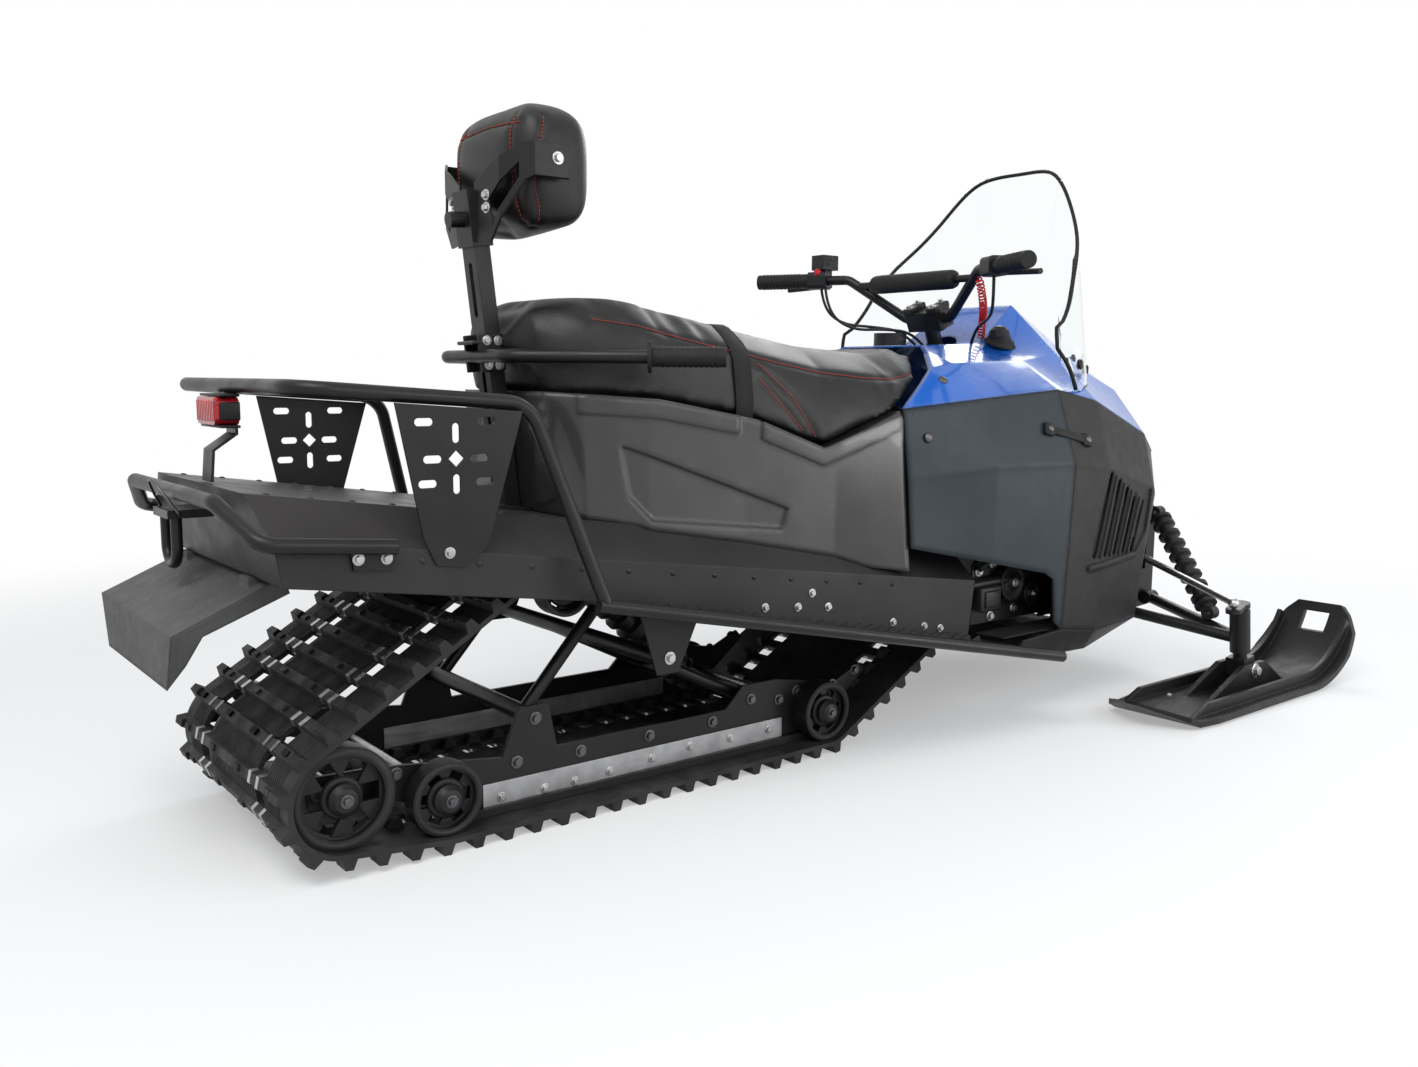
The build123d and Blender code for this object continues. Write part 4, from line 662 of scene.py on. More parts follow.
def sew_cover(piece, node, body, seams, width, depth):
    """Presses the seams into a filled cover, which then stands for its CAD node."""
    for seam in seams:
        press_seam(piece, seam, width, depth)
    smooth = piece.modifiers.new("smooth", "SUBSURF")
    smooth.levels = 1
    smooth.render_levels = 1
    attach(piece, body)
    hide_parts(node)


def sew_thread(label, body, seams, sink):
    """The thread along a cover's seams, sunk into them."""
    bm = bmesh.new()
    for seam in seams:
        stitches(bm, [(place - normal * sink, normal) for place, normal in seam])
    new_piece(label, bm, body, "red_thread")


# Seat cushion: its top edge seam and the two sewn lines on each flank, as x, y and z on the right
SEAT_SEAM = [(470, -166, 806), (540, -190, 797), (640, -204, 776), (740, -210, 757), (840, -214, 738),
             (940, -216, 723), (1040, -216, 714), (1130, -212, 712), (1200, -204, 722)]
FLANK_SEAMS = [[(782, -236, 738), (850, -238, 680), (900, -244, 604)], [(782, -236, 712), (872, -244, 616)]]
SEAM_START = 2
SEAT_VOXEL = 0.0074
SEAT_SHRINK = 0.004
SEAT_TUCK = 0.022
SEAT_PUFF_CAP = 0.009


def make_seat_cushion():
    """The stuffed cushion, its front tucked down to the body, and its sewn lines."""
    piece = start_cover("seat_cushion", "seat_cover", SEAT_VOXEL)
    for vertex in piece.data.vertices:
        open_side = min(1.0, max(0.0, (vertex.normal.z + 0.45) / 0.4))
        tucked = SEAT_TUCK if vertex.normal.x > 0.3 and vertex.normal.z < -0.3 else 0.0
        vertex.co += vertex.normal * (tucked - SEAT_SHRINK * open_side)
    even_out(piece, 26)
    puff(piece, SEAT_PUFF_CAP)
    even_out(piece, 8)
    tree = surface_tree(piece)
    seams = []
    for side in (-1, 1):
        for line in [SEAT_SEAM, *FLANK_SEAMS]:
            outside = [(x, -side * y * SEAM_START, z) for x, y, z in line]
            seams.append(laid_seam(tree, outside, Vector((0, -side, 0))))
    sew_cover(piece, "seat_cushion", "chassis", seams, 0.007, 0.0028)
    sew_thread("seat_stitching", "chassis", seams, 0.002)
    return piece


# Turned, moulded and bent pieces; a bolt's washer is in shares of the head's radius
WASHER = [(0, 0), (1.55, 0), (1.55, 0.2), (1.4, 0.28), (0, 0.28)]


def turned(bm, profile, place, axis, steps=28):
    """Adds a turned form: pairs of radius and height spun about an axis through a place."""
    form = bmesh.new()
    line = [form.verts.new((radius, 0, height)) for radius, height in profile]
    edges = [form.edges.new(ends) for ends in zip(line, line[1:])]
    bmesh.ops.spin(form, geom=line + edges, cent=(0, 0, 0), axis=(0, 0, 1), angle=math.tau, steps=steps,
                   use_merge=True)
    bmesh.ops.remove_doubles(form, verts=form.verts, dist=1e-6)
    bmesh.ops.recalc_face_normals(form, faces=form.faces)
    form.transform(Matrix.Translation(place) @ facing(axis))
    add_form(bm, form)


def laid_block(bm, frame_at, size, edge):
    """Adds a block with rounded edges, its middle at a frame's origin."""
    form = bmesh.new()
    bmesh.ops.create_cube(form, size=1)
    bmesh.ops.scale(form, vec=size, verts=form.verts)
    bmesh.ops.bevel(form, geom=form.edges[:], offset=edge, segments=2, profile=0.5, affect="EDGES",
                    material=-1)
    form.transform(frame_at)
    add_form(bm, form)


def block(bm, place, size, edge, pitch=0):
    """Adds a rounded block at a place, pitched by degrees about the machine's cross axis."""
    laid_block(bm, Matrix.Translation(place) @ Matrix.Rotation(math.radians(pitch), 4, "Y"), size, edge)


def bolt(bm, place, axis, size):
    """Adds a hex head on its washer; the axis points out of the face."""
    turned(bm, [(radius * size, height * size) for radius, height in WASHER], place, axis, 18)
    head = bmesh.new()
    bmesh.ops.create_cone(head, cap_ends=True, segments=6, radius1=size, radius2=size, depth=size * 0.8)
    bmesh.ops.bevel(head, geom=head.edges[:], offset=size * 0.08, segments=1, profile=0.5, affect="EDGES",
                    material=-1)
    head.transform(Matrix.Translation(Vector(place) + Vector(axis) * size * 0.66) @ facing(axis))
    add_form(bm, head)


def route_points(points, fine=8):
    """The smooth line that a cord or wire takes by its control points."""
    curve = bpy.data.curves.new("route", "CURVE")
    curve.dimensions = "3D"
    spline = curve.splines.new("NURBS")
    spline.points.add(len(points) - 1)
    for control, point in zip(spline.points, points):
        control.co = (*point, 1)
    spline.order_u = 3
    spline.use_endpoint_u = True
    spline.resolution_u = fine
    holder = bpy.data.objects.new("route", curve)
    scene.collection.objects.link(holder)
    mesh = bpy.data.meshes.new_from_object(holder.evaluated_get(bpy.context.evaluated_depsgraph_get()))
    line = [v.co.copy() for v in mesh.vertices]
    bpy.data.meshes.remove(mesh)
    bpy.data.objects.remove(holder)
    bpy.data.curves.remove(curve)
    return line


def sweep_tube(bm, line, radius, sides=10):
    """Adds a round tube along a line: a ring drawn out step by step and closed at both ends."""
    form = bmesh.new()
    ring = bmesh.ops.create_circle(form, cap_ends=False, segments=sides, radius=radius)["verts"]
    way = (line[1] - line[0]).normalized()
    bmesh.ops.transform(form, verts=ring, matrix=Matrix.Translation(line[0]) @ facing(way))
    edges = form.edges[:]
    bmesh.ops.contextual_create(form, geom=edges)
    for i in range(1, len(line)):
        ahead = (line[min(i + 1, len(line) - 1)] - line[i - 1]).normalized()
        made = bmesh.ops.extrude_edge_only(form, edges=edges)["geom"]
        ring = [item for item in made if isinstance(item, bmesh.types.BMVert)]
        edges = [item for item in made if isinstance(item, bmesh.types.BMEdge)
                 and all(v in ring for v in item.verts)]
        swing = way.rotation_difference(ahead).to_matrix().to_4x4()
        bmesh.ops.transform(form, verts=ring, matrix=Matrix.Translation(line[i]) @ swing
                            @ Matrix.Translation(-line[i - 1]))
        way = ahead
    bmesh.ops.contextual_create(form, geom=edges)
    bmesh.ops.recalc_face_normals(form, faces=form.faces)
    add_form(bm, form)


# Wheels inside the track, as x, z and radius, in the order that the belt meets them
IDLERS = [(0, 117, 76), (160, 81.3, 57), (947, 81.3, 57), (370, 381, 46)]
DRIVER = (1215, 240, 62)
TRACK_WHEELS = IDLERS[:3] + [DRIVER] + IDLERS[3:]
# Belt: its outer and inner face above the rims, the least height of the blocks at the bars' ends, and the
# rays along the belt that meet these blocks
BELT_FACE = 8.3
BELT_BACK = 0.3
BAR_SIDE = 12.0
PROBE_Y = -240
PROBE_HEIGHT = 40
PROBE_STEP = 1.5
PROBE_OVERLAP = 30
# Pieces on each bar: their places across it, size along, across and out, and how far they taper
CLIPS = ((-149, -115, 115, 149), (0.0245, 0.010, 0.0112), 0.72)
LUMPS = ((-196, -60, 60, 196), (0.012, 0.020, 0.0045), 0.7)
GUIDES = ((-164, 164), (0.030, 0.014, 0.016), 0.45)
CLIP_HEIGHT = -0.5
LUMP_HEIGHT = 9.0
GUIDE_HEIGHT = BELT_FACE - BELT_BACK - 0.5
# Ribbed mats between the bars: first and last rib, their pitch, width and thickness
MAT_STRIPS = [(-104, 104, 7), (156, 212, 7), (-212, -156, 7)]
MAT_STEP = 11
MAT_RIB = 3.4
MAT_RIB_T = 0.0024


def belt_line(face, fine):
    """Points round the belt at a height above the rims, with their outward directions."""
    rims = [(Vector((x, z)), radius + face) for x, z, radius in TRACK_WHEELS]
    runs = []
    for (here, r_here), (there, r_there) in zip(rims, rims[1:] + rims[:1]):
        way = (there - here).normalized()
        lean = (r_here - r_there) / (there - here).length
        out = way * lean + Vector((way.y, -way.x)) * math.sqrt(1 - lean * lean)
        runs.append((here + out * r_here, there + out * r_there, out))
    line = []
    for i, (start, end, out) in enumerate(runs):
        centre, radius = rims[i]
        before = runs[i - 1][2]
        turn = math.atan2(before.x * out.y - before.y * out.x, before.dot(out)) % math.tau
        steps = max(2, int(turn * radius / fine))
        for k in range(steps):
            swing = Matrix.Rotation(turn * k / steps, 2) @ before
            line.append((centre + swing * radius, swing))
        steps = max(1, int((end - start).length / fine))
        for k in range(steps):
            line.append((start.lerp(end, k / steps), out))
    return line


def bar_places():
    """Where the track's cross bars are: the middles of the tall end blocks met by rays along the belt."""
    tree = surface_tree(nodes["track"])
    line = belt_line(BELT_FACE, PROBE_STEP)
    places = []
    tall = []
    for point, out in line + line[:PROBE_OVERLAP]:
        start = at(point.x + out.x * PROBE_HEIGHT, PROBE_Y, point.y + out.y * PROBE_HEIGHT)
        hit = tree.ray_cast(start, Vector((-out.x, 0, -out.y)))[3]
        if hit is not None and (PROBE_HEIGHT - BAR_SIDE) * 0.001 > hit:
            tall.append((point, out))
        elif tall:
            places.append(tall[len(tall) // 2])
            tall = []
    return places


def on_bar(place, out, y, height):
    """The frame of a small piece on a cross bar: first axis along the belt, third outwards."""
    outwards = Vector((out.x, 0, out.y))
    along = Vector((0, 1, 0)).cross(outwards)
    turn = Matrix((along, (0, 1, 0), outwards)).transposed().to_4x4()
    return Matrix.Translation(at(place.x + out.x * height, y, place.y + out.y * height)) @ turn


def set_block(bm, frame_at, size, taper):
    """Adds a tapered block standing on a frame's origin."""
    form = bmesh.new()
    bmesh.ops.create_cube(form, size=1)
    for vertex in form.verts:
        vertex.co.z += 0.5
        if vertex.co.z > 0.5:
            vertex.co.x *= taper
    bmesh.ops.scale(form, vec=size, verts=form.verts)
    form.transform(frame_at)
    add_form(bm, form)


def set_row(bm, place, out, height, pieces):
    """Adds a row of tapered blocks across a bar."""
    across, size, taper = pieces
    for y in across:
        set_block(bm, on_bar(place, out, y, height), size, taper)


def make_track_details():
    """Folded clips on the bars beside the windows, ribbed mats, guide lugs inside and lumps on the bars."""
    clips = bmesh.new()
    lumps = bmesh.new()
    for place, out in bar_places():
        set_row(clips, place, out, CLIP_HEIGHT, CLIPS)
        set_row(lumps, place, out, LUMP_HEIGHT, LUMPS)
        set_row(lumps, place, -out, GUIDE_HEIGHT, GUIDES)
    new_piece("track_clips", clips, "chassis", "bright_steel", smooth=False)
    new_piece("track_lumps", lumps, "chassis", "track_rubber", smooth=False)
    mats = bmesh.new()
    line = belt_line(BELT_FACE - 0.3, MAT_STEP)
    for low, high, step in MAT_STRIPS:
        for y in range(low, high + 1, step):
            ring = [mats.verts.new(at(p.x, y - MAT_RIB / 2, p.y)) for p, _ in line]
            edges = [mats.edges.new((a, b)) for a, b in zip(ring, ring[1:] + ring[:1])]
            draw_out(mats, edges, (0, MAT_RIB * 0.001, 0))
    bmesh.ops.recalc_face_normals(mats, faces=mats.faces)
    piece = new_piece("track_mats", mats, "chassis", "track_rubber", smooth=False)
    thicken(piece, MAT_RIB_T, 0)


# Wheel dress: the outer face of the rims; a tyre bead in shares of the wheel's radius; hub cap and flange
IDLER_FACE = 237
BEAD = [(0.83, -0.001), (0.84, 0.0012), (0.88, 0.0022), (0.95, 0.0018), (0.975, -0.001)]
HUB_CAP = [(0.024, -0.0005), (0.024, 0.0022), (0.0205, 0.003), (0.019, 0.0072), (0.0155, 0.0098),
           (0.008, 0.0108), (0, 0.0108)]
HUB_FLANGE = [(0.031, -0.012), (0.031, -0.0085), (0.026, -0.007), (0.0225, -0.007)]


def make_wheel_details():
    """Rubber tyre beads, flanged hub caps and their bolts."""
    beads = bmesh.new()
    caps = bmesh.new()
    heads = bmesh.new()
    for x, z, radius in IDLERS:
        for side in (-1, 1):
            face = at(x, side * IDLER_FACE, z)
            axis = Vector((0, side, 0))
            turned(beads, [(radius * 0.001 * share, height) for share, height in BEAD], face, axis, 48)
            turned(caps, HUB_CAP, face, axis)
            turned(caps, HUB_FLANGE, face, axis)
            bolt(heads, face + axis * 0.0105, axis, 0.0065)
    new_piece("wheel_beads", beads, "chassis", "track_rubber")
    new_piece("hub_caps", caps, "chassis", "control_plastic")
    new_piece("wheel_bolts", heads, "chassis", "dark_steel", smooth=False)


# Bolts on the chassis, the same on both sides: distance from the middle, head size, and x and z of each
RAIL_BOLTS = (193, 0.007, [(-22, 117), (96, 122), (335, 166), (300, 100), (420, 95), (560, 95), (700, 95),
                           (791, 122), (860, 110), (905, 120), (1000, 118), (1060, 138)])
BEAM_BOLTS = (196, 0.0052, [(270, 50), (349, 47), (407, 47), (476, 50), (564, 55), (647, 60),
                            (740, 58), (832, 58)])
BUMPER_BOLTS = (290.3, 0.0056, [(10, 466), (50, 464)])
PLATE_BOLTS = (288.3, 0.0054, [(145, 463)])
HANGER_BOLTS = (281.7, 0.0072, [(538, 253)])
SIDE_BOLTS = (285, 0.0054, [(742, 314), (820, 306), (854, 328), (895, 298), (1069, 248),
                           (1159, 229), (1207, 219)])
# Tunnel: pitch of its top and the top's height at the rear axle; rivets on its sides and top, as first one,
# pitch, count, distance from the middle and height from the top
TUNNEL_PITCH = math.radians(7.8)
TUNNEL_HEIGHT = 540
SIDE_RIVETS = (-60, 88, 14, 285, -70)
TOP_RIVETS = (-80, 60, 9, 200, 0)
SIDE_RIVET = [(0.0052, 0), (0.0048, 0.0012), (0.0025, 0.0022), (0, 0.0024)]
TOP_RIVET = [(0.005, 0), (0.0046, 0.0012), (0.0024, 0.0022), (0, 0.0024)]


def chassis_point(x, y, z):
    """A point on the tunnel, given along its own pitched top."""
    rise = math.sin(TUNNEL_PITCH)
    run = math.cos(TUNNEL_PITCH)
    return at(x * run + z * rise, y, TUNNEL_HEIGHT - x * rise + z * run)


def rivet_row(bm, row, head, side, axis):
    """Adds a row of rivets along the tunnel."""
    first, pitch, count, away, height = row
    for i in range(count):
        turned(bm, head, chassis_point(first + pitch * i, side * away, height), axis, 12)


def make_bolts():
    """Bright and dark bolts along the rails, on the tunnel's sides and at the rack and bumper."""
    bright = bmesh.new()
    dark = bmesh.new()
    rivets = bmesh.new()
    up = (math.sin(TUNNEL_PITCH), 0, math.cos(TUNNEL_PITCH))
    for side in (-1, 1):
        axis = Vector((0, side, 0))
        for away, size, spots in (BEAM_BOLTS, BUMPER_BOLTS, PLATE_BOLTS, HANGER_BOLTS, SIDE_BOLTS):
            for x, z in spots:
                bolt(bright, at(x, side * away, z), axis, size)
        away, size, spots = RAIL_BOLTS
        for x, z in spots:
            bolt(dark, at(x, side * away, z), axis, size)
        rivet_row(rivets, SIDE_RIVETS, SIDE_RIVET, side, axis)
        rivet_row(rivets, TOP_RIVETS, TOP_RIVET, side, up)
    new_piece("bright_bolts", bright, "chassis", "bright_steel", smooth=False)
    new_piece("dark_bolts", dark, "chassis", "dark_steel", smooth=False)
    new_piece("tunnel_rivets", rivets, "chassis", "tunnel_coat")


# Windshield edge in front view on the left half, as half width and height
PANE_EDGE = [(316, 692), (316, 800), (276, 966), (140, 1160), (85, 1195)]
PANE_AXIS = 1512
PANE_ROUND = 60
ROUND_STEPS = 6
PANE_STEP = 14
PANE_TAPER = (700, 325, 1200, 270)
PANE_INSET = 2
TRIM_R = 0.0042
PANE_SCREWS = [(302, 745), (250, 735), (170, 760)]
PANE_SCREW = [(0.011, 0.0018), (0.011, 0.004), (0.008, 0.0062), (0, 0.007)]


def pane_point(y, z):
    """A point of the pane, which is part of a cone that narrows upwards."""
    low, r_low, top, r_top = PANE_TAPER
    radius = r_low + (r_top - r_low) * (z - low) / (top - low) - PANE_INSET
    return at(PANE_AXIS + math.sqrt(max(radius * radius - y * y, 0)), y, z)


def make_pane_trim():
    """The rubber trim on the windshield's edge and the screws at its foot."""
    corners = [Vector(p) for p in PANE_EDGE] + [Vector((-y, z)) for y, z in reversed(PANE_EDGE)]
    outline = [corners[0]]
    for before, corner, after in zip(corners, corners[1:], corners[2:]):
        start, end = [corner + (far - corner).normalized() * min(PANE_ROUND, (far - corner).length * 0.48)
                      for far in (before, after)]
        for k in range(ROUND_STEPS + 1):
            share = k / ROUND_STEPS
            outline.append(start.lerp(corner, share).lerp(corner.lerp(end, share), share))
    outline.append(corners[-1])
    length = sum((b - a).length for a, b in zip(outline, outline[1:]))
    bm = bmesh.new()
    sweep_tube(bm, [pane_point(y, z) for y, z in spaced(outline, int(length / PANE_STEP))], TRIM_R, 8)
    new_piece("pane_trim", bm, "chassis", "grip_rubber")
    screws = bmesh.new()
    for side in (-1, 1):
        for y, z in PANE_SCREWS:
            place = pane_point(side * y, z)
            axis = (place - at(PANE_AXIS, 0, z)).normalized()
            for way in (1, -1):
                turned(screws, PANE_SCREW, place, axis * way, 16)
    new_piece("pane_screws", screws, "chassis", "control_plastic")


# Backrest pad: seams in machine millimetres, laid on from behind or from the side
PAD_VOXEL = 0.0052
PAD_SHRINK = 0.005
PAD_PUFF_CAP = 0.009
PAD_ROUNDNESS = 3.4
PAD_ROUND_SHARE = 0.7
PAD_TOP_SEAM = [(200, -104, 1112), (200, 0, 1118), (200, 104, 1112)]
PAD_BACK_SEAM = [(200, -88, 952), (200, -92, 1040), (200, -84, 1128)]
PAD_SIDE_SEAM = [(400, -300, 958), (384, -300, 1010), (388, -300, 1070), (404, -300, 1122)]


def round_off(piece, power, share):
    """Draws a padded form's corners in towards a rounded block that fills its own box."""
    spots = [v.co for v in piece.data.vertices]
    low = Vector([min(s[i] for s in spots) for i in range(3)])
    high = Vector([max(s[i] for s in spots) for i in range(3)])
    middle = (low + high) / 2
    half = (high - low) / 2
    for vertex in piece.data.vertices:
        away = vertex.co - middle
        reach = sum(abs(away[i] / half[i]) ** power for i in range(3)) ** (1 / power)
        if reach > 1:
            vertex.co = middle + away * (1 - share + share / reach)


def make_backrest_pad():
    """The stuffed backrest with its sewn panels."""
    piece = start_cover("backrest_pad", "backrest_cover", PAD_VOXEL)
    for vertex in piece.data.vertices:
        vertex.co -= vertex.normal * PAD_SHRINK
    even_out(piece, 40)
    round_off(piece, PAD_ROUNDNESS, PAD_ROUND_SHARE)
    puff(piece, PAD_PUFF_CAP)
    even_out(piece, 6)
    tree = surface_tree(piece)
    forwards = Vector((1, 0, 0))
    seams = [laid_seam(tree, PAD_TOP_SEAM, forwards)]
    for side in (1, -1):
        for line, way in ((PAD_BACK_SEAM, forwards), (PAD_SIDE_SEAM, Vector((0, side, 0)))):
            seams.append(laid_seam(tree, [(x, side * y, z) for x, y, z in line], way))
    sew_cover(piece, "backrest_pad", "backrest", seams, 0.006, 0.0026)
    sew_thread("backrest_stitching", "backrest", seams, 0.0018)


# Roll on the handlebar: its bore, the rounding of its ends as share of the radius and distance from the end,
# and its waist as share of the radius and of the half length
ROLL_BORE = 0.0085
ROLL_END = [(0.62, 0), (0.86, 0.003), (0.97, 0.01), (1, 0.03)]
ROLL_WAIST = (0.985, 0.4)


def make_bar_roll():
    """The foam roll on the handlebar's crossbar."""
    low, high = [Vector(corner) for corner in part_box("handlebar_pad")]
    half = (high.y - low.y) / 2
    r = (high.z - low.z) / 2
    end = [(ROLL_BORE, -half)] + [(r * share, inset - half) for share, inset in ROLL_END]
    end.append((r * ROLL_WAIST[0], -half * ROLL_WAIST[1]))
    far_end = [(radius, -height) for radius, height in reversed(end)]
    bm = bmesh.new()
    turned(bm, end + far_end, (low + high) / 2, (0, 1, 0), 40)
    piece = new_piece("bar_roll", bm, "steering", "grip_rubber")
    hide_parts("handlebar_pad")


# Strap over the seat: its middle, width and thickness, and the height of its sewn ends
STRAP_X = 745
STRAP_WIDTH = 0.038
STRAP_T = 0.0022
STRAP_LOW = 612
# Rays that lay it: the height they aim at, how far out they start, the angle to each side and their number
STRAP_AIM = 560
STRAP_REACH = 0.6
STRAP_SWING = 96
STRAP_STEPS = 60
STRAP_LIFT = 0.0012
STRAP_HEM = (0.040, 0.006, 0.016)


def make_strap(cover):
    """The webbing laid over the cushion, its ends turned into hems at the lip."""
    tree = surface_tree(cover)
    centre = at(STRAP_X, 0, STRAP_AIM)
    line = []
    for i in range(STRAP_STEPS + 1):
        swing = math.radians(STRAP_SWING * (2 * i / STRAP_STEPS - 1))
        out = Vector((0, math.sin(swing), math.cos(swing)))
        place, normal, _, _ = tree.ray_cast(centre + out * STRAP_REACH, -out)
        if place is not None and place.z > STRAP_LOW * 0.001 and normal.dot(out) > 0:
            line.append(place + normal * STRAP_LIFT)
    for end in (0, -1):
        line[end].z = STRAP_LOW * 0.001
    bm = bmesh.new()
    spots = [bm.verts.new(point - Vector((STRAP_WIDTH / 2, 0, 0))) for point in line]
    draw_out(bm, [bm.edges.new(ends) for ends in zip(spots, spots[1:])], (STRAP_WIDTH, 0, 0))
    bmesh.ops.recalc_face_normals(bm, faces=bm.faces)
    if sum(face.normal.z for face in bm.faces) < 0:
        bmesh.ops.reverse_faces(bm, faces=bm.faces)
    piece = new_piece("seat_webbing", bm, "chassis", "webbing")
    thicken(piece, STRAP_T, 1)
    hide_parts("seat_strap")
    hems = bmesh.new()
    for end in (line[0], line[-1]):
        block(hems, end + Vector((0, math.copysign(0.003, end.y), 0.006)), STRAP_HEM, 0.0015)
    new_piece("strap_hems", hems, "chassis", "webbing")


# Rubber grips: body, name of the ribs and radius; the rings' number, start, pitch and section over the radius
GRIPS = {
    "hand_grips": ("steering", "hand_grip_ribs", 0.0172),
    "grab_grips": ("chassis", "grab_grip_ribs", 0.0162),
}
GRIP_RINGS = 11
RING_START = 0.012
RING_PITCH = 0.0088
RING_SECTION = [(-0.001, -0.0026), (0.0006, -0.0017), (0.0009, 0), (0.0006, 0.0017), (-0.001, 0.0026)]
GRIP_END = 0.03


def make_grip_ribs():
    """Raised rings on the rubber grips of the handlebar and the grab bar."""
    for name, (body, label, radius) in GRIPS.items():
        section = [(radius + rise, height) for rise, height in RING_SECTION]
        bm = bmesh.new()
        for side in (-1, 1):
            spots = [v.co for v in nodes[name].data.vertices if v.co.y * side > 0]
            ends = []
            for pick in (max, min):
                reach = pick(abs(p.y) for p in spots)
                close = [p for p in spots if abs(abs(p.y) - reach) < GRIP_END]
                ends.append(sum(close, Vector()) / len(close))
            way = (ends[1] - ends[0]).normalized()
            for i in range(GRIP_RINGS):
                turned(bm, section, ends[0] + way * (RING_START + RING_PITCH * i), way, 24)
        new_piece(label, bm, body, "grip_rubber")


# Handlebar cables and the coiled tether: control points in machine millimetres from the control down,
# the last one is set onto the hood
CABLES = {
    "throttle_cable": [(1376, -252, 924), (1380, -250, 884), (1412, -222, 846), (1462, -164, 834),
                       (1498, -112, 824), (1512, -84, 800)],
    "brake_hose": [(1376, 252, 924), (1382, 250, 876), (1414, 218, 838), (1462, 156, 832), (1498, 104, 822),
                   (1512, 78, 800)],
    "switch_lead": [(1370, 232, 924), (1372, 226, 866), (1410, 184, 824), (1458, 118, 826), (1492, 66, 818),
                    (1508, 46, 800)],
}
CABLE_R = 0.0034
CABLE_SINK = 0.004
HOOD_HEIGHT = 800
TETHER = [(1398, -196, 922), (1420, -190, 886), (1462, -160, 852), (1504, -124, 842), (1530, -100, 812)]
TETHER_TURNS = 24
TURN_STEPS = 12
TETHER_EASE = 0.3
TETHER_COIL_R = 0.0074
TETHER_R = 0.0018


def on_hood(x, y):
    """The point of the hood's surface nearest to a place over it, in the row frame."""
    return hood_tree.find_nearest(at(x, y, HOOD_HEIGHT))[0]


def hang_cord(name, line, radius, finish):
    """A cord from a control on the bar to the hood, swept as a tube along its line."""
    bm = bmesh.new()
    sweep_tube(bm, line, radius, 8)
    piece = new_piece(name, bm, None, finish)
    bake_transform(piece)


def make_cables():
    """The cables from the bar's controls, and the stop switch's tether wound about its own line."""
    for name, route in CABLES.items():
        points = [at(*p) for p in route]
        points[-1] = on_hood(*route[-1][:2]) - Vector((0, 0, CABLE_SINK))
        hang_cord(name, route_points(points), CABLE_R, "control_plastic")
    points = [at(*p) for p in TETHER]
    points[-1] = on_hood(*TETHER[-1][:2])
    last = TETHER_TURNS * TURN_STEPS
    spine = spaced(route_points(points), last + 1)
    helix = []
    for i, place in enumerate(spine):
        turn = facing((spine[min(i + 1, last)] - spine[max(i - 1, 0)]).normalized()).to_3x3()
        swing = math.tau * i / TURN_STEPS
        ease = min(1.0, TETHER_EASE + i / TURN_STEPS, TETHER_EASE + (last - i) / TURN_STEPS)
        helix.append(place + turn @ Vector((math.cos(swing), math.sin(swing), 0)) * TETHER_COIL_R * ease)
    hang_cord("kill_tether", route_points(helix, 2), TETHER_R, "red_cord")


# Tail lamp: the lens's x and z in the middle, and its size; the flutes' number, first one, pitch and size
LAMP_X = -79.3
LAMP_Z = 659
LAMP_SIZE = (34, 92, 40)
FLUTES = 11
FLUTE_START = -40
FLUTE_PITCH = 8
FLUTE_SIZE = (0.003, 0.0055, 0.030)
# Its housing: depth, wall and place, how far the walls stand off the lens, reach past it above and below, and
# stop short beside it
HOUSING_DEPTH = 0.028
HOUSING_WALL = 0.004
HOUSING_X = LAMP_X + 3
HOUSING_GAP = 2.5
HOUSING_OVERLAP = 8
HOUSING_SHORT = 14


def make_lamp_details():
    """Upright flutes on the lens and the black housing round it."""
    depth, width, height = LAMP_SIZE
    flutes = bmesh.new()
    for i in range(FLUTES):
        block(flutes, at(LAMP_X - depth / 2, FLUTE_START + FLUTE_PITCH * i, LAMP_Z), FLUTE_SIZE, 0.0013)
    new_piece("lamp_flutes", flutes, "chassis", "red_lens")
    housing = bmesh.new()
    level = (HOUSING_DEPTH, (width + HOUSING_OVERLAP) * 0.001, HOUSING_WALL)
    upright = (HOUSING_DEPTH, HOUSING_WALL, (height - HOUSING_SHORT) * 0.001)
    for side in (-1, 1):
        block(housing, at(HOUSING_X, 0, LAMP_Z + side * (height / 2 + HOUSING_GAP)), level, 0.0012)
        block(housing, at(HOUSING_X, side * (width / 2 + HOUSING_GAP), LAMP_Z), upright, 0.0012)
    new_piece("lamp_housing", housing, "chassis", "control_plastic")


# Rear: the hitch's wire latch; the grab bar's clamps, pitched with the post, and the bolts about their
# middle; the bolts of the backrest's yoke, as x, distance from the middle, z, the way they face and size
HITCH_LATCH = [(-150, -46, 512), (-172, -40, 548), (-180, -8, 566), (-172, 30, 552), (-150, 46, 512)]
LATCH_R = 0.0021
POST_PITCH = -6.65
CLAMP_X = 357
CLAMP_Z = 750
CLAMP_BOLTS = ((-10, 20), (11, 20), (-7, -20), (13, -20))
YOKE_BOLTS = [(410, 154, 1053, (0, 1, 0), 0.0068), (334, 58, 1000, (-0.99, 0.12, 0), 0.006),
              (334, 58, 980, (-0.99, 0.12, 0), 0.006)]


